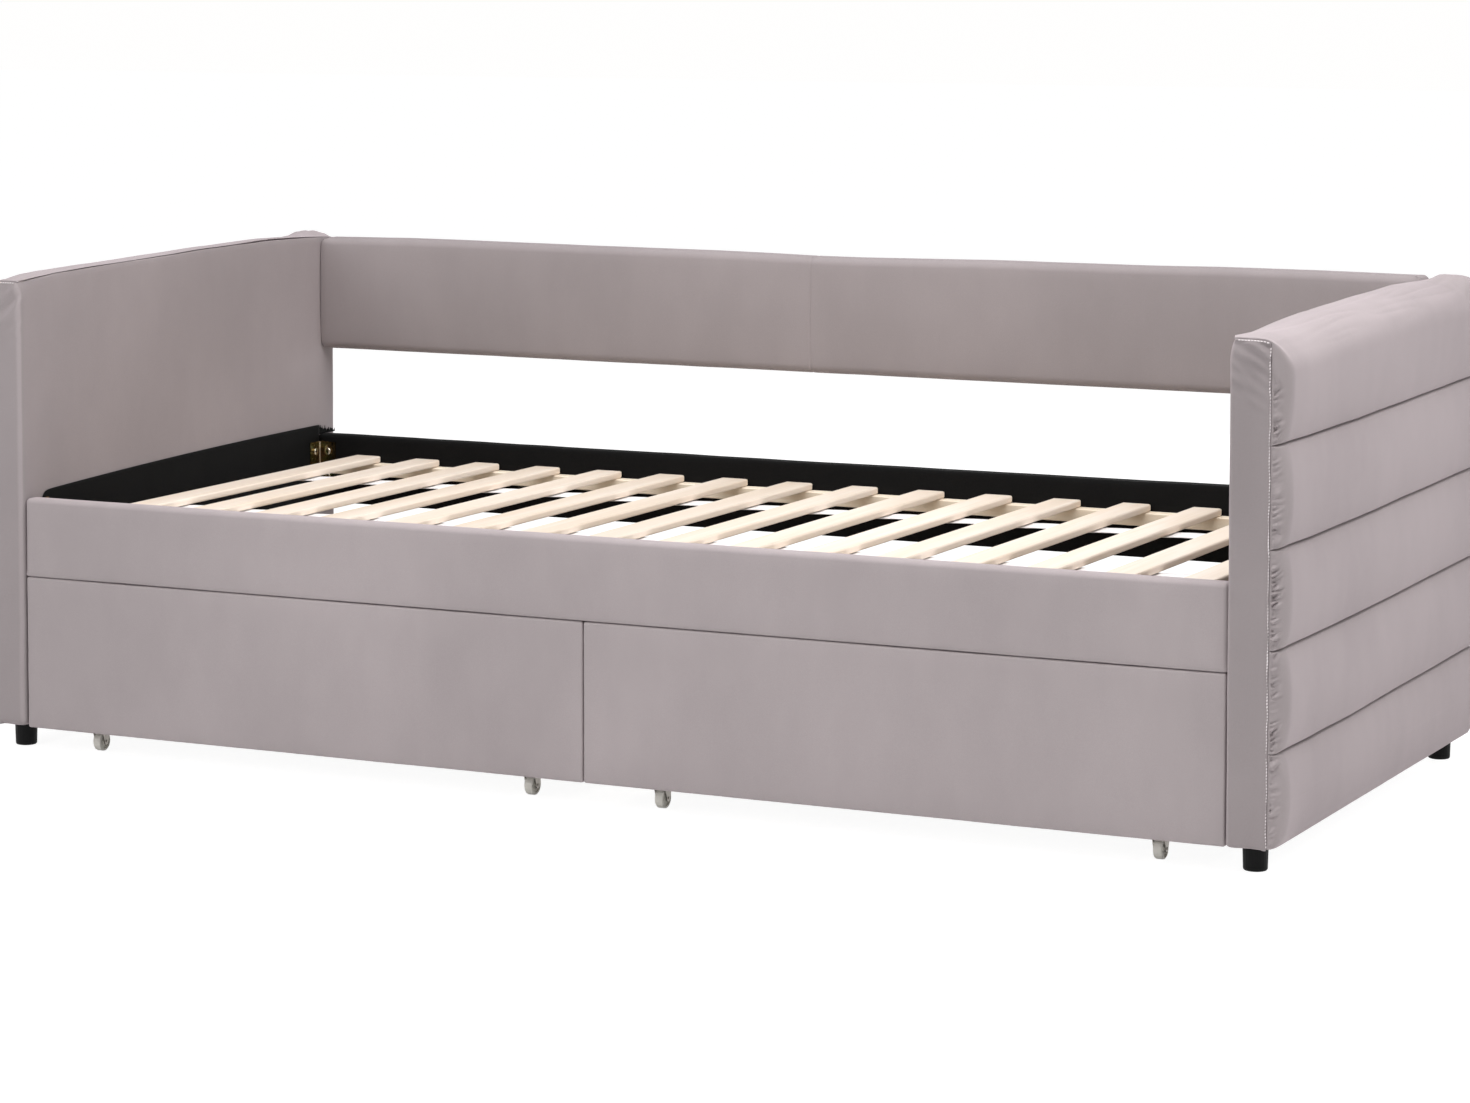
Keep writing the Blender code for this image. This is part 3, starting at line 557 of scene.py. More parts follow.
# Folds of the pad
PUCKER_HEIGHT, PUCKER_SCALE = 0.0125, (30, 1, 118)
SMALL_PUCKER_HEIGHT, SMALL_PUCKER_SCALE = 0.0080, (60, 1, 260)
PUCKER_BASE, PUCKER_SHARPNESS, PUCKER_DIP = 0.42, 2.4, 0.0030
PUCKER_START, PUCKER_REACH, PUCKER_SLANT = 0.0010, 0.0145, 0.35
GATHER_BASE, GATHER_CHANGE, GATHER_SCALE, GATHER_RANGE = 0.60, 2.0, (3, 1, 23), (0.25, 0.84)
SLACK_HEIGHT, SLACK_REACH, SEAM_HOLD = 0.0008, 0.012, 0.004
TOP_CREASE, TOP_WAVE, STUFFING_WAVE = 0.0008, 0.0014, 0.0016

# Folds of the cover: at its front top corner, by its seams, at its hem and on its inner face
TIP_FOOT, TIP_HEIGHT, TIP_DEPTH, TIP_ACROSS = 0.722, 0.030, 0.020, (0.004, 0.035)
SEAM_RIPPLE, SEAM_RIPPLE_REACH = 0.0005, 0.007
FOLD_SLANT, FOLD_RANGE, FOLD_REACH = 0.62, (0.640, 0.725), 0.02
FRONT_WAVE, FACE_WAVE = 0.0014, 0.0008
HEM_WAVE, HEM_RANGE = 0.0016, (0.038, 0.06)
TOP_RANGE_LOW, CORNER_RANGE = 0.66, 0.006

STITCH_PITCH, STITCH_LENGTH, STITCH_RADIUS = 0.0046, 0.0034, 0.00080
STITCH_RISE, STITCH_INSET, STITCH_SLACK = 0.0002, 0.0008, 0.0004
STITCH_MARGIN, FRONT_STITCHES_FROM, STITCH_DROP = 0.003, 0.014, 0.0012
STITCH_SWAYS = ((0.0005, 60), (0.0003, 171))
STITCH_SIDES = 5
STITCH_PROFILE = ((-0.5, 0.35), (-0.3, 1.0), (0.3, 1.0), (0.5, 0.35))


def superellipse(share, power):
    """1 at share 0, then down to 0 at share 1 in a round bend."""
    return (1 - share**power) ** (1 / power)


def fullness(y):
    """How far the stuffing has risen at a place along the depth: 0 at the end seams, soon 1."""
    front = np.clip((y - END_GAP) / FRONT_ROLL, 0, 1)
    rear = np.clip((DEPTH - END_GAP - y) / REAR_ROLL, 0, 1)
    power = np.where(front < rear, FRONT_ROLL_POWER, ROLL_POWER)
    return superellipse(1 - np.minimum(front, rear), power)


def pad_rows():
    """Places along the depth, close together where the pad's ends roll in."""
    ease = 1 - np.cos(np.linspace(0, math.pi / 2, ROLL_ROWS)) ** (2 / ROLL_POWER)
    start, finish = END_GAP + FRONT_ROLL, DEPTH - END_GAP - REAR_ROLL
    middle = np.linspace(start, finish, MIDDLE_ROWS)[1:-1]
    rear = DEPTH - END_GAP - REAR_ROLL * ease[::-1]
    return np.concatenate((END_GAP + FRONT_ROLL * ease, middle, rear))


def skin_start(y):
    """The pad's inner top edge keeps to the arm's inner face, but its front tip is drawn in."""
    return SKIN_EDGE + TIP_INSET * np.exp(-y / TIP_LENGTH)


def top_skin(side_name, y, out):
    """Height of the pad's top at a place: it curves down from the inner edge to the side."""
    full = fullness(y)
    reach = HEM + full * PAD_CROWN
    drop = HEM_DROP + full * (TOP_DROP - HEM_DROP)
    power = HEM_POWER + full * (TOP_POWER - HEM_POWER) + REAR_POWER * smooth(y, *REAR_PLACES)
    start = skin_start(y)
    share = np.clip((out - start) / (reach - start), 0, 1)
    rise = np.interp(y, RISE_PLACES, TOP_RISE) * smooth(out, *RISE_STARTS) * (1 - smooth(out, *RISE_ENDS))
    edge = np.interp(y, EDGE_PLACES, INNER_EDGES[side_name])
    return edge + rise - drop * (1 - superellipse(share, power))


def cover_top(side_name, y, out):
    """Height of the arm's flat cover under the pad."""
    foam = LIP + FOAM_RISE * fullness(y) * smooth(out, *FOAM_ACROSS)
    return top_skin(side_name, y, np.minimum(out, ARM_THICKNESS)) - foam


def crown(t):
    """How far a stuffed channel stands out between two seams, from 0 at a seam to 1."""
    return np.maximum(np.sin(math.pi * t), 0) ** CROWN_BEND


def slit(distance, full):
    """Depth of the sharp crease at a channel seam."""
    depth = SLIT_AT_ENDS + (SLIT_DEPTH - SLIT_AT_ENDS) * full**0.8
    return depth * math.exp(-((distance / SLIT_WIDTH) ** 2))


def pad_columns(side_name, ys):
    """The pad's outer skin as columns of (out, height), each with its channel and share of its width."""
    full = fullness(ys)
    along = points_at(ys, 0, 0)
    start, reach = skin_start(ys), HEM + full * PAD_CROWN
    columns, marks = [], []
    for angle in np.linspace(0, math.pi / 2, TOP_COLUMNS):
        out = start + (reach - start) * math.sin(angle) ** (2 / (TOP_POWER + 0.5))
        columns.append((out, top_skin(side_name, ys, out)))
        marks.append((0, 0.5 * angle / (math.pi / 2)))
    top_z = columns[-1][1]
    rise = np.interp(ys, SEAM_PLACES, SEAM_RISE)
    seams = [z + rise + SEAM_WAVER * noise(along + (0, 3.3 * i, 0), 6) * full for i, z in enumerate(SEAMS)]
    near = NEAR_SEAM / TOP_CHANNEL_SIDE
    for t in np.concatenate((np.linspace(0, 1 - near[-1], SIDE_COLUMNS)[1:-1], 1 - near[::-1])):
        swell = VALLEY + (PAD_CROWN - VALLEY) * crown((1 + t) / 2)
        out = HEM + full * swell - slit((1 - t) * TOP_CHANNEL_SIDE, full)
        columns.append((out, top_z + t * (seams[0] - top_z)))
        marks.append((0, 0.5 + 0.5 * t))
    near = NEAR_SEAM / CHANNEL_WIDTH
    middle = np.linspace(near[-1], 1 - near[-1], CHANNEL_COLUMNS)[1:-1]
    steps = np.concatenate((near, middle, 1 - near[::-1]))
    for channel, (high, low) in enumerate(zip(seams, seams[1:] + [np.full_like(ys, PAD_FOOT)]), 1):
        swell = 1 + SWELL_CHANGE * noise(along + (0, 5.7 * channel, 0), 4)
        for t in steps[1:]:
            at_foot = channel == len(SEAMS) and t > 0.5
            valley = FOOT_VALLEY if at_foot else VALLEY
            crease = 0 if at_foot else slit(min(t, 1 - t) * CHANNEL_WIDTH, full)
            out = HEM + full * (valley + swell * (PAD_CROWN - valley) * crown(t)) - crease
            columns.append((out, high + t * (low - high)))
            marks.append((channel, t))
    channels, shares = np.array(marks).T
    return columns, channels, shares


def pad_folds(grid, channel, t, seed):
    """How far the cloth lifts at each place: puckers by the end seams, slack by the channels, creases."""
    y, z = grid[..., 1], grid[..., 2]
    full = fullness(y)
    to_seam = np.where(channel == 0, 1 - np.clip(2 * t - 1, 0, 1), np.minimum(t, 1 - t))[None, :]
    to_seam = to_seam * CHANNEL_WIDTH
    from_end = np.minimum(y, DEPTH - y) - END_GAP + np.maximum(grid[..., 0] - HEM, 0)
    on_side = smooth(t[None, :] + (channel[None, :] > 0), *ON_SIDE)
    by_end = points_at(from_end, 0, z - PUCKER_SLANT * from_end)
    folds = noise(by_end, PUCKER_SCALE, (0, seed, 0))
    small = noise(by_end, SMALL_PUCKER_SCALE, (0, seed, 0))
    gathered = GATHER_BASE + GATHER_CHANGE * noise(points_at(y, 0, z), GATHER_SCALE, (0, seed, 0))
    gathered = np.clip(gathered, *GATHER_RANGE)
    reach = (1 - np.exp(-from_end / PUCKER_START)) * np.exp(-((from_end / PUCKER_REACH) ** 2))
    pucker = PUCKER_HEIGHT * (PUCKER_BASE - PUCKER_SHARPNESS * np.abs(folds)) + SMALL_PUCKER_HEIGHT * small
    lift = np.maximum(pucker * gathered * reach * on_side, -PUCKER_DIP)
    slack = np.exp(-to_seam / SLACK_REACH) * noise(grid, (1, 34, 8), seed + 2)
    lift = lift + SLACK_HEIGHT * slack * full
    over_top = (channel == 0)[None, :] * (1 - smooth(t, *ON_TOP))[None, :] * full
    crease = np.clip(1 - 7 * np.abs(noise(grid, (46, 3.0, 1), seed + 5)), -1, 1)
    lift = lift + over_top * (TOP_CREASE * crease + TOP_WAVE * noise(grid, (12, 8, 8), seed))
    lift = lift + STUFFING_WAVE * noise(grid, (3, 5, 7), seed + 7) * full
    return lift * (1 - np.exp(-to_seam / SEAM_HOLD))


def arm_to_frame(side, points):
    """Places in the frame of points given as (out, y, height) on an arm."""
    out, y, z = np.asarray(points).T
    return points_at(side * (HALF_WELL + out), FRONT + y, z)


def add_arm_pad(side_name, side):
    """Quilted cover: five channels, the top one over the arm, with puckers along the end seams."""
    ys = pad_rows()
    columns, channel, t = pad_columns(side_name, ys)
    grid = np.stack([points_at(out, ys, z) for out, z in columns], axis=1)
    grid = grid - grid_normals(grid) * pad_folds(grid, channel, t, 9.0 + 4.2 * side)[..., None]
    seat = [points_at(PAD_SIDE, ys, PAD_FOOT)]
    for out in SEAT_PLACES:
        seat.append(points_at(out, ys, cover_top(side_name, ys, out) + SEAT_GAP))
    rings = np.concatenate((np.stack(seat, axis=1), grid), axis=1)
    world = arm_to_frame(side, rings.reshape(-1, 3))
    faces = loft_faces(len(ys), rings.shape[1])
    nodes = [f"arm_pad_{side_name}"]
    pad = add_piece(f"quilted_pad_{side_name}", world, faces, VELVET_PAD, "frame", nodes)


def sharpen(points, normals, edge, axes, radius, tight):
    """Makes rounded edges crisper: moves their points out towards the sharp corner."""
    for axis in axes:
        n = normals[:, axis]
        points[:, axis] += np.where(edge, (radius - tight) * (np.sign(n) - n) * (np.abs(n) > TINY), 0)


def arm_cover_shape(side_name, side):
    """The flat cover: crisp at the seams, drawn in at its front top corner, with small folds there."""
    radius = COVER_RADII[side_name]

    def shape(points, normals):
        out = side * points[:, 0] - HALF_WELL
        outer = (out > ARM_THICKNESS - radius - TINY) & (np.abs(normals[:, 1]) > TINY)
        upper = points[:, 2] > ARM_TOP - radius - TINY
        leaning = upper & (np.abs(normals[:, 2]) > TINY) & ~outer
        rounded = (np.abs(normals[:, 0]) + np.abs(normals[:, 1])) > TINY
        sharpen(points, normals, outer, (0, 1), radius, CRISP_RADIUS)
        sharpen(points, normals, leaning, (0, 1), radius, CRISP_RADIUS)
        sharpen(points, normals, upper & rounded, (2,), radius, CRISP_RADIUS)
        out = side * points[:, 0] - HALF_WELL
        y, z = points[:, 1] - FRONT, points[:, 2]
        at_front = np.exp(-np.maximum(y, 0) / TIP_DEPTH)
        at_top = np.clip((z - TIP_FOOT) / TIP_HEIGHT, 0, 1) ** 2
        inset = TIP_INSET * at_top * at_front * (1 - smooth(out, *TIP_ACROSS))
        near_seam = np.exp(-np.maximum(ARM_THICKNESS - out, 0) / SEAM_RIPPLE_REACH)
        ripple = SEAM_RIPPLE * (1 - 3 * np.abs(noise(points_at(0, side, z * 130)))) * near_seam
        slant = noise(points_at(out * 20, 3 * side, (z + FOLD_SLANT * out) * 62))
        fold = FOLD_HEIGHTS[side_name] * slant * smooth(z, *FOLD_RANGE)
        fold = fold + FRONT_WAVE * noise(points, (20, 1, 9), 4.0)
        near_end = np.exp(-np.minimum(y, DEPTH - y) / FOLD_REACH)
        lift = (fold + ripple) * near_end * (1 - smooth(z, ARM_TOP - CORNER_RANGE, ARM_TOP))
        hem = HEM_WAVE * noise(points_at(out * 40, y * 22, side * 5)) * (1 - smooth(z, *HEM_RANGE))
        to_top = (cover_top(side_name, y, out) - ARM_TOP) * smooth(z, TOP_RANGE_LOW, ARM_TOP - radius)
        points[:, 0] += side * inset
        points[:, 1] += normals[:, 1] * lift
        points[:, 2] += hem + to_top
        inside = (side * normals[:, 0] < 0) * FACE_WAVE
        points[:, 0] += normals[:, 0] * inside * noise(points, (1, 4, 6), 2.0)
        return points

    return shape


def stitch(points, faces, middle, lean, length, radius):
    """One short stitch: a tapered thread on the seam."""
    lean = np.array(lean) / np.linalg.norm(lean)
    beside = np.cross(lean, (0, 1, 0))
    start = len(points)
    for k, share in STITCH_PROFILE:
        for j in range(STITCH_SIDES):
            angle = 2 * math.pi * j / STITCH_SIDES
            round_it = beside * math.cos(angle) + np.array((0, 1.0, 0)) * math.sin(angle)
            points.append(middle + lean * length * k + radius * share * round_it)
    for face in loft_faces(len(STITCH_PROFILE), STITCH_SIDES):
        faces.append(tuple(start + k for k in face))


def add_stitches(side_name, side):
    """Short slanting stitches down the pad's front and rear seams, and across under its front tip."""
    points, faces = [], []
    for y, inwards in ((-STITCH_RISE, 1), (DEPTH + STITCH_RISE, -1)):
        top = cover_top(side_name, np.clip(y, 0, DEPTH), ARM_THICKNESS) - STITCH_MARGIN
        for z in np.arange(FOOT_HEIGHT + 2 * STITCH_MARGIN, top, STITCH_PITCH):
            sway = sum(size * math.sin(z * rate) for size, rate in STITCH_SWAYS)
            tightness = 0.9 + 0.8 * float(noise((side, y, 31.0 * z)))
            sunk = inwards * STITCH_SLACK * (1 - tightness)
            middle = np.array((ARM_THICKNESS - STITCH_INSET + sway, y + sunk, z))
            length, radius = STITCH_LENGTH * tightness, STITCH_RADIUS * tightness
            stitch(points, faces, middle, (0.16, 0, 1.0), length, radius)
    for out in np.arange(FRONT_STITCHES_FROM, ARM_THICKNESS - 0.002, STITCH_PITCH):
        middle = np.array((out, -STITCH_RISE, cover_top(side_name, 0.0, out) - STITCH_DROP))
        stitch(points, faces, middle, (1.0, 0, -0.10), STITCH_LENGTH, 0.8 * STITCH_RADIUS)
    world = arm_to_frame(side, points)
    # The pale stitches are real thread and also a painted highlight along the seam's lit edge
    add_piece(f"seam_stitches_{side_name}", world, faces, THREAD_AND_HIGHLIGHT, "frame")


def add_arms():
    for side_name, side in SIDES:
        xs = sorted((side * HALF_WELL, side * (HALF_WELL + ARM_THICKNESS)))
        low, high = (xs[0], FRONT, FOOT_HEIGHT), (xs[1], FRONT + DEPTH, ARM_TOP)
        radius = COVER_RADII[side_name]
        fold_x = tuple(np.linspace(low[0] + radius, high[0] - radius, FOLD_COLUMNS))
        fold_z = tuple(np.arange(FOLD_LOW, ARM_TOP - radius, FOLD_STEP))
        upholstered(
            f"arm_cover_{side_name}", low, high, radius, "frame", [f"arm_core_{side_name}"], COVER_STEP,
            arm_cover_shape(side_name, side), (fold_x, (), fold_z), cloth=VELVET_ARMS[side_name],
        )
        add_arm_pad(side_name, side)
        add_stitches(side_name, side)


# Back panel, rails and drawer fronts

PANEL_STEP, PLAIN_STEP = 0.012, 0.014
REACH = HALF_WELL - 0.0005
BACK_TOP = 0.7715
BACK_BOX = ((-REACH, 0.450, 0.575), (REACH, 0.498, BACK_TOP))
BACK_RADIUS, BACK_TIGHT = 0.014, 0.003
BACK_PLACES = (
    -1.0145, -0.93, -0.84, -0.66, -0.48, -0.30, -0.21, -0.13, -0.045,
    0.04, 0.12, 0.28, 0.52, 0.60, 0.67, 0.83, 1.0145,
)
BACK_TOPS = (
    0.7750, 0.7762, 0.7776, 0.7767, 0.7751, 0.7748, 0.7743, 0.7731, 0.7713,
    0.7713, 0.7724, 0.7743, 0.7745, 0.7751, 0.7763, 0.7763, 0.7745,
)
BACK_LOW_PLACES = (-1.0, -0.5, 0.0, 0.5, 1.0)
BACK_LOW_DROPS = (0.0006, 0.0016, 0.0025, 0.0036, 0.0038)
BACK_UPPER, BACK_LOWER = (0.60, 0.76), (0.575, 0.640)
BACK_CROWN, BACK_MIDDLE, BACK_HALF_HEIGHT = 0.004, 0.673, 0.098
BACK_SEAM, BACK_SEAM_DEPTH, BACK_SEAM_WIDTH = -0.046, 0.0011, 0.0016
BACK_SEAM_LINES = (-0.005, -0.003, -0.0018, -0.0009, 0, 0.0009, 0.0018, 0.003, 0.005)
FRONT_RAIL_BOX = ((-REACH, -0.494, 0.2842), (REACH, -0.464, 0.411))
FRONT_RAIL_RADIUS, FRONT_RAIL_TIGHT, FRONT_RAIL_CROWN = 0.008, 0.003, 0.0012
REAR_RAIL_BOX, REAR_RAIL_RADIUS = ((-REACH, 0.441, 0.2965), (REACH, 0.471, 0.417)), 0.004
RAIL_RISE_PLACES, RAIL_RISE = (-0.1, 0.7, 1.0), (0.0, 0.0027, 0.0030)
RAIL_UPPER = (0.36, 0.41)
DRAWER_RADIUS, DRAWER_CROWN = 0.0035, 0.0010
DRAWER_MORE_LOW, DRAWER_MORE_HIGH = (0.0006, 0, 0.0015), (0.0006, 0, 0.0016)


def rail_rise(x):
    """How far the rear rail's top, and the cloth over it, stands above its low end."""
    return np.interp(x, RAIL_RISE_PLACES, RAIL_RISE)


def back_shape(points, normals):
    """Crisp ends against the arms, a top edge that rises in the middle of each half, a slack lower edge."""
    nx, ny, nz = normals.T
    at_end = (np.abs(nx) > TINY) & (np.abs(ny) > TINY)
    firm = BACK_RADIUS - BACK_TIGHT
    points[:, 1] += np.where(at_end, firm * (np.sign(ny) - ny), 0)
    level = np.sqrt(np.clip(1 - nz**2, 0, 1))
    points[:, 0] += np.where(at_end, firm * np.sign(nx) * (level - np.abs(nx)), 0)
    x, y, z = points.T
    points[:, 2] += (np.interp(x, BACK_PLACES, BACK_TOPS) - BACK_TOP) * smooth(z, *BACK_UPPER)
    points[:, 2] -= np.interp(x, BACK_LOW_PLACES, BACK_LOW_DROPS) * (1 - smooth(z, *BACK_LOWER))
    bulge = BACK_CROWN * np.clip(1 - ((z - BACK_MIDDLE) / BACK_HALF_HEIGHT) ** 2, 0, 1)
    points[:, 1] -= np.where(ny < -0.5, bulge, 0)
    groove = np.exp(-(((x - BACK_SEAM) / BACK_SEAM_WIDTH) ** 2))
    points -= normals * (BACK_SEAM_DEPTH * groove)[:, None]
    return points


def add_back():
    seam_lines = tuple(BACK_SEAM + d for d in BACK_SEAM_LINES)
    upholstered(
        "back_cover", *BACK_BOX, BACK_RADIUS, "frame", ["back_panel"], PLAIN_STEP,
        back_shape, (seam_lines, (), ()), 0.8, VELVET_BACK,
    )


def crowned(amount, low, high, radius=0.0, tight=0.0):
    """The front face stands out a little in its middle. radius and tight make its lower edge crisper."""

    def shape(points, normals):
        if radius:
            lower = (normals[:, 2] < -TINY) & (np.abs(normals[:, 1]) > TINY)
            sharpen(points, normals, lower, (1, 2), radius, tight)
        u = np.clip((points[:, 0] - low[0]) / (high[0] - low[0]), 0, 1)
        v = np.clip((points[:, 2] - low[2]) / (high[2] - low[2]), 0, 1)
        bulge = amount * (1 - (2 * u - 1) ** 8) * (1 - (2 * v - 1) ** 6)
        points[:, 1] -= np.where(normals[:, 1] < -0.5, bulge, 0)
        return points

    return shape


def rear_rail_shape(points, normals):
    points[:, 2] += rail_rise(points[:, 0]) * smooth(points[:, 2], *RAIL_UPPER)
    return points


def add_panels():
    front_shape = crowned(FRONT_RAIL_CROWN, *FRONT_RAIL_BOX, FRONT_RAIL_RADIUS, FRONT_RAIL_TIGHT)
    upholstered(
        "front_rail_cover", *FRONT_RAIL_BOX, FRONT_RAIL_RADIUS, "frame", ["front_rail"],
        PANEL_STEP, front_shape,
    )
    upholstered(
        "rear_rail_cover", *REAR_RAIL_BOX, REAR_RAIL_RADIUS, "frame", ["rear_rail"],
        PLAIN_STEP, rear_rail_shape,
    )
    for side_name, side in SIDES:
        low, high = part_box(f"drawer_front_{side_name}")
        low, high = np.array(low) - DRAWER_MORE_LOW, np.array(high) + DRAWER_MORE_HIGH
        upholstered(
            f"drawer_cover_{side_name}", low, high, DRAWER_RADIUS, f"drawer_{side_name}",
            [f"drawer_front_{side_name}"], PANEL_STEP, crowned(DRAWER_CROWN, low, high),
        )


# Corner brackets

BRACKET_X, BRACKET_ENDS = 1.0134, (("front", -0.4637, 1), ("rear", 0.4394, -1))
BRACKET_LOW, BRACKET_HIGH, BRACKET_SHEET = 0.3275, 0.4055, 0.002
BEND_RADIUS, BEND_OVERLAP = 0.0018, 0.0004
BOLT_PLACE, BOLT_HEIGHTS, BOLT_TOP = 0.020, (0.3435, 0.3895), 0.0055
RIM_INNER, RIM_OUTER, RIM_HEIGHT, RIM_SUNK = 0.0036, 0.0064, 0.0014, 0.0002
RIM_STEPS = 20


def bend_ring(x, y, into, z):
    """The inner bend of a bracket at one height, as a ring of points."""
    away = BRACKET_SHEET + BEND_RADIUS
    corner = BRACKET_SHEET - BEND_OVERLAP
    ring = [(x + into[0] * corner, y + into[1] * corner, z)]
    for a in np.linspace(0, math.pi / 2, 9):
        in_x, in_y = away - BEND_RADIUS * math.cos(a), away - BEND_RADIUS * math.sin(a)
        ring.append((x + into[0] * in_x, y + into[1] * in_y, z))
    return ring


def bolt_rim(points, faces, seat, out):
    """The rounded rim of a bolt's head, round its socket. out is the way the head looks."""
    start = len(points)
    side, up = np.cross(out, (0, 0, 1.0)), np.array((0, 0, 1.0))
    profile = [(RIM_INNER, -RIM_SUNK), (RIM_INNER, RIM_HEIGHT)]
    for a in np.linspace(math.pi / 2, 0, 6)[1:]:
        radius = RIM_INNER + (RIM_OUTER - RIM_INNER) * math.cos(a)
        profile.append((radius, RIM_HEIGHT * math.sin(a) - RIM_SUNK))
    for k in range(RIM_STEPS):
        turn = 2 * math.pi * k / RIM_STEPS
        round_it = side * math.cos(turn) + up * math.sin(turn)
        points.extend(seat + round_it * r + out * h for r, h in profile)
    count = len(profile)
    for k in range(RIM_STEPS):
        faces.extend(belt(start + k * count, start + (k + 1) % RIM_STEPS * count, count))


def add_bracket_details():
    """The bends and the bolts' rims, in a much lighter zinc than the brackets: painted highlights."""
    for end_name, y, into_y in BRACKET_ENDS:
        for side_name, side in SIDES:
            corner = f"{end_name}_{side_name}"
            x, into = side * BRACKET_X, (-side, into_y)
            low, high = bend_ring(x, y, into, BRACKET_LOW), bend_ring(x, y, into, BRACKET_HIGH)
            faces = loft_faces(2, len(low))
            add_piece(f"bracket_bend_{corner}", low + high, faces, ZINC_HIGHLIGHT, "frame")
            points, faces = [], []
            for z in BOLT_HEIGHTS:
                seat = np.array((x + into[0] * BOLT_PLACE, y + into[1] * BOLT_TOP, z))
                bolt_rim(points, faces, seat, np.array((0, into[1], 0.0)))
                seat = np.array((x + into[0] * BOLT_TOP, y + into[1] * BOLT_PLACE, z))
                bolt_rim(points, faces, seat, np.array((into[0], 0, 0.0)))
            add_piece(f"bolt_rims_{corner}", points, faces, ZINC_HIGHLIGHT, "frame")


# Linings and webbing

LINING_COLUMNS, LINING_ROWS = 150, 26
LINING_ENDS, LINING_FOOT = (0.052, 0.9392), 0.300
LINING_TOP, LINING_SLOPE, LINING_BEND = 0.4157, 0.0437, 0.0236
LINING_DROP, LINING_DROP_LENGTH = 0.016, 0.006
LINING_SHEET, LINING_GAP, LINING_SLACK, LINING_BILLOW = 0.0007, 0.0006, 0.0010, 0.0022
FRAY_ENDS, FRAY_FOOT, FRAY_TOP = (0.938, 0.996), 0.4187, 0.4225
FRAY_PEAK, FRAY_PEAK_LENGTH = 0.012, 0.022
FRAY_SHEET, FRAY_TEARS, FRAY_CURL = 0.0006, (0.014, 0.011), 0.0030
RAIL_LINING_END, RAIL_BILLOW, RAIL_LIFT = 1.0140, 0.0028, 0.0010
RAIL_FACE, RAIL_FOOT, RAIL_SHOULDER, RAIL_BEND = 0.4400, 0.2965, 0.4135, 0.0045
RAIL_LINING_TOP, RAIL_TOP_ENDS = 0.4180, (0.448, 0.4705)
RAIL_COLUMNS, RAIL_LOOSE, RAIL_BEND_SHARES = 262, (0.985, 1.010), (0.62, 0.75)
SLAT_PITCH = 0.1212
BAND_SHEET, BAND_SAG, BAND_WAVE, BAND_GAP = 0.0011, 0.0018, 0.0006, 0.0006
BAND_COLUMNS, BAND_LINES = 320, 9


def bulges(places, scale, shift, rise):
    """Noise without its low parts, for cloth that lies flat with a bulge here and there."""
    return np.clip(noise(places, scale, shift) + rise, 0, 1)


def add_sheet(name, grid, thickness, nodes):
    """A piece of black lining from a grid of places."""
    piece = add_cloth(name, grid, thickness, "cloth_thickness", LINING, nodes)


def add_fray(side_name, side):
    """The torn end of the arm's lining over the rear rail, with a ragged top edge."""
    ys = np.linspace(*FRAY_ENDS, LINING_COLUMNS)
    place = points_at(side, ys, 0)
    torn = FRAY_TEARS[0] * noise(place, 190.0) + FRAY_TEARS[1] * noise(place, 520.0, 5.0)
    top = FRAY_TOP + FRAY_PEAK * np.exp(-(ys - FRAY_ENDS[0]) / FRAY_PEAK_LENGTH) + torn
    shares = np.linspace(0, 1, 6)[None, :]
    z = FRAY_FOOT + shares * np.maximum(top - FRAY_FOOT, FRAY_SHEET)[:, None]
    curl = LINING_GAP + FRAY_CURL * shares**2 * bulges(place, 90.0, 2.0, 0.15)[:, None]
    grid = points_at(side * (HALF_WELL - curl), FRONT + ys[:, None], z + rail_rise(side))
    add_sheet(
        f"lining_fray_{side_name}", grid, FRAY_SHEET, [],
    )


def add_arm_lining(side_name, side):
    """The cloth on the arm's inner face. Its top edge is a low arch that drops at the front."""
    front, rear = LINING_ENDS
    ys = np.linspace(front, rear, LINING_COLUMNS)
    yy, tt = np.meshgrid(ys, np.linspace(0.0, 1.0, LINING_ROWS), indexing="ij")
    top = LINING_TOP + LINING_SLOPE * ys - LINING_BEND * ys**2
    top = top - LINING_DROP * np.exp(-(ys - front) / LINING_DROP_LENGTH)
    z = LINING_FOOT + tt * (top[:, None] - LINING_FOOT)
    billow = bulges(points_at(yy, 0, z), (7, 1, 12), 4 + side, 0.25)
    slack = LINING_SLACK + LINING_BILLOW * billow * np.sin(math.pi * tt) ** 0.5
    grid = points_at(side * (HALF_WELL - LINING_GAP - slack), FRONT + yy, z)
    add_sheet(
        f"arm_lining_{side_name}", grid, LINING_SHEET, [f"side_lining_{side_name}"],
    )


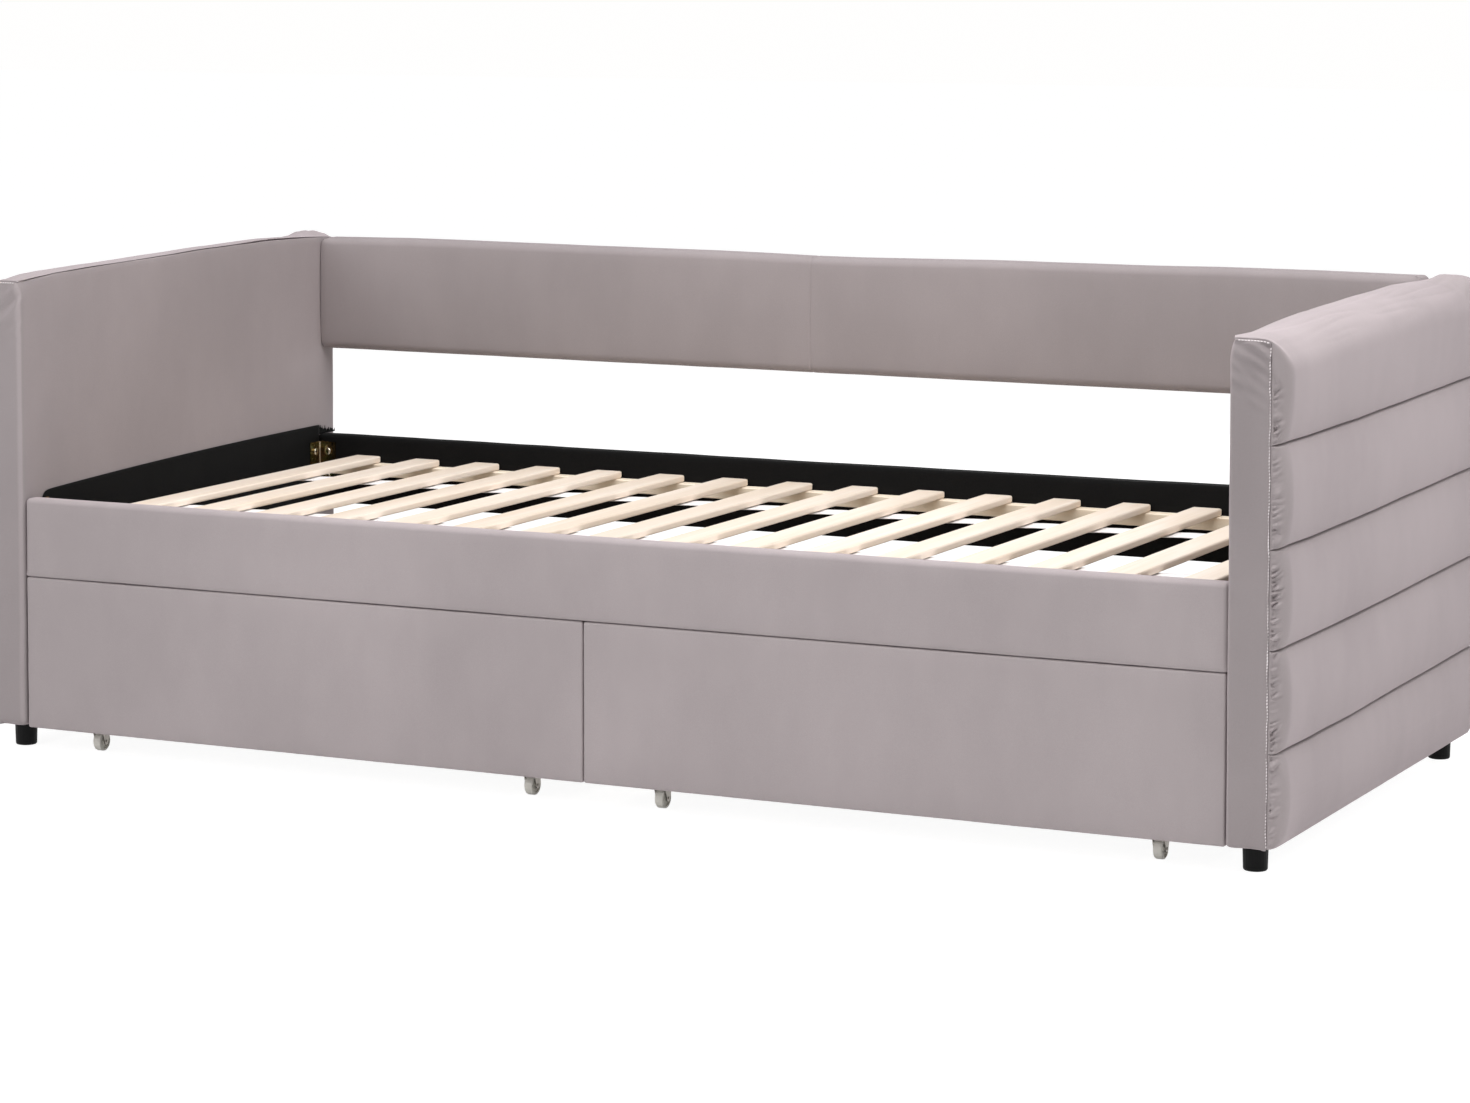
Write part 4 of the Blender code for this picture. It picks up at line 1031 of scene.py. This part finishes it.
def add_rail_lining():
    """The cloth up the rear rail's inner face, round its upper edge and over its top."""
    path = [(RAIL_FACE, z) for z in np.linspace(RAIL_FOOT, RAIL_SHOULDER, 22)]
    for a in np.linspace(0.2, math.pi / 2, 6):
        path.append((RAIL_FACE + RAIL_BEND * (1 - math.cos(a)), RAIL_SHOULDER + RAIL_BEND * math.sin(a)))
    path += [(y, RAIL_LINING_TOP) for y in np.linspace(*RAIL_TOP_ENDS, 6)]
    path = np.array(path)
    xs = np.linspace(-RAIL_LINING_END, RAIL_LINING_END, RAIL_COLUMNS)
    xx, ss = np.meshgrid(xs, np.linspace(0, 1, len(path)), indexing="ij")
    yy, zz = path.T
    places = points_at(xx, 0, zz)
    on_face = 1 - smooth(ss, *RAIL_BEND_SHARES)
    loose = 1 - smooth(np.abs(xx), *RAIL_LOOSE)
    down = np.sin(math.pi * np.clip(ss / 0.68, 0, 1)) ** 0.5
    slack = RAIL_BILLOW * bulges(places, (5, 1, 14), 9.0, 0.2) * on_face * down * loose
    lift = RAIL_LIFT * bulges(places, (11, 1, 1), 3.0, 0.2) * (1 - on_face) * loose
    grid = points_at(xx, yy - slack, zz + lift + rail_rise(xx) * smooth(zz, *RAIL_UPPER))
    add_sheet(
        "rail_lining", grid, LINING_SHEET, ["rear_lining"],
    )


def add_linings():
    for side_name, side in SIDES:
        add_arm_lining(side_name, side)
        add_fray(side_name, side)
    add_rail_lining()


def add_webbing():
    """Two bands under the slats, which sag a little between one slat and the next."""
    for end_name in ("front", "rear"):
        low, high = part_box(f"webbing_{end_name}")
        xs = np.linspace(low[0], high[0], BAND_COLUMNS)
        sag = BAND_SAG * np.sin(math.pi * ((xs / SLAT_PITCH) % 1.0)) ** 2
        lines = []
        for u in np.linspace(0, 1, BAND_LINES):
            y = low[1] + u * (high[1] - low[1]) + BAND_WAVE * np.sin(xs * 23 + u * 3)
            z = high[2] - BAND_GAP - sag * (1 + 0.2 * math.sin(u * 5))
            lines.append(points_at(xs, y, z))
        grid = np.stack(lines, axis=1)
        nodes = [f"webbing_{end_name}"]
        add_cloth(f"band_{end_name}", grid, BAND_SHEET, "band_thickness", WEBBING, nodes)


# Stage, light and camera

FLOOR_SIZE, FLOOR_DROP = 30.0, 0.0004
FLOOR_GREY, FLOOR_SEEN_GREY, FLOOR_GLOW = 0.78, 0.23, 0.93
STUDIO_COLOUR, STUDIO_STRENGTH, STUDIO_SEEN_STRENGTH = (1.0, 0.995, 0.99), 0.31, 1.0
WHITE, COOL, WARM = (1.0, 1.0, 1.0), (1.0, 0.985, 0.99), (1.0, 0.995, 0.97)

# Each with its place, target, size, power and colour
LIGHTS = (
    ("overhead", (0.4, -0.5, 3.3), (0.3, 0.0, 0.4), (4.2, 2.6), 98, COOL),
    ("overhead_front", (0.7, -1.4, 3.0), (0.4, -0.2, 0.4), (3.4, 2.0), 27, COOL),
    ("key", (-2.6, -4.4, 2.4), (0, 0, 0.35), (2.6, 2.2), 74, WHITE),
    ("side", (2.9, 0.1, 1.3), (1.1, 0, 0.4), (2.0, 1.4), 7, WHITE),
    ("right_high", (4.0, -0.6, 3.4), (0.0, 0, 0.4), (2.4, 2.4), 44, WARM),
    ("rear_fill", (-0.5, 4.6, 0.85), (0.0, 0.4, 0.45), (2.6, 1.0), 45, WHITE),
    ("near_end", (1.15, -0.66, 1.55), (1.06, -0.40, 0.75), (0.45, 0.45), 1.3, COOL),
)


def add_stage():
    """A white floor. It glows where the camera sees it, and lights the object as a grey one would."""
    mesh = bpy.data.meshes.new("floor")
    corners = [(FLOOR_SIZE * x, FLOOR_SIZE * y, 0) for x, y in ((-1, -1), (1, -1), (1, 1), (-1, 1))]
    mesh.from_pydata(corners, [], [(0, 1, 2, 3)])
    floor = add_object("floor", mesh)
    floor.location.z = -FLOOR_DROP
    m = Nodes("floor_white", 0.9)
    m.set(Base_Color=(FLOOR_GREY,) * 3, Specular_IOR_Level=0.0)
    path = m.add("ShaderNodeLightPath").outputs
    seen = m.math("MAXIMUM", path["Is Camera Ray"], path["Is Glossy Ray"])
    seen = m.math("MAXIMUM", seen, path["Is Transmission Ray"])
    glow = m.add("ShaderNodeEmission", {"Strength": m.math("MULTIPLY", seen, FLOOR_GLOW)})
    dark = m.add("ShaderNodeBsdfDiffuse", {"Color": (FLOOR_SEEN_GREY,) * 3})
    shaders = {"Fac": seen, 1: m.shader.outputs["BSDF"], 2: dark.outputs["BSDF"]}
    dim = m.add("ShaderNodeMixShader", shaders)
    both = m.add("ShaderNodeAddShader", {0: dim.outputs["Shader"], 1: glow.outputs["Emission"]})
    m.feed(both.outputs["Shader"], m.tree.nodes["Material Output"].inputs["Surface"])
    mesh.materials.append(m.material)


def add_world():
    world = bpy.data.worlds.new("studio")
    bpy.context.scene.world = world
    world.use_nodes = True
    tree = Tree(world.node_tree)
    background = tree.tree.nodes["Background"]
    path = tree.add("ShaderNodeLightPath").outputs
    seen = tree.math("MAXIMUM", path["Is Camera Ray"], path["Is Transmission Ray"])
    tree.feed(STUDIO_COLOUR, background.inputs["Color"])
    tree.feed(tree.spread(seen, STUDIO_STRENGTH, STUDIO_SEEN_STRENGTH), background.inputs["Strength"])


def placed(right, up, back, place):
    """The matrix of a lamp or camera."""
    return Matrix([*zip(right, up, back, place), (0, 0, 0, 1)])


def add_light(name, place, target, size, power, colour):
    light = bpy.data.lights.new(name, "AREA")
    light.shape = "RECTANGLE"
    light.size, light.size_y = size
    light.energy = power
    light.color = colour
    obj = add_object(name, light)
    obj.visible_camera = False
    back = np.array(place, float) - np.array(target, float)
    back /= np.linalg.norm(back)
    right = np.cross((0, 0, 1), back)
    right /= np.linalg.norm(right)
    obj.matrix_world = placed(right, np.cross(back, right), back, place)


def add_camera():
    data = bpy.data.cameras.new("camera")
    data.sensor_fit = "HORIZONTAL"
    data.sensor_width = SENSOR_WIDTH
    data.lens = CAMERA_LENS
    data.shift_x, data.shift_y = CAMERA_SHIFT
    data.clip_end = 100
    camera = add_object("camera", data)
    camera.matrix_world = placed(CAMERA_RIGHT, CAMERA_UP, CAMERA_BACK, CAMERA_PLACE)
    bpy.context.scene.camera = camera


bpy.context.scene.view_settings.view_transform = "Standard"
add_camera()
add_world()
for light in LIGHTS:
    add_light(*light)
add_stage()
dress_cad_nodes()
add_arms()
add_back()
add_panels()
add_bracket_details()
add_linings()
add_webbing()
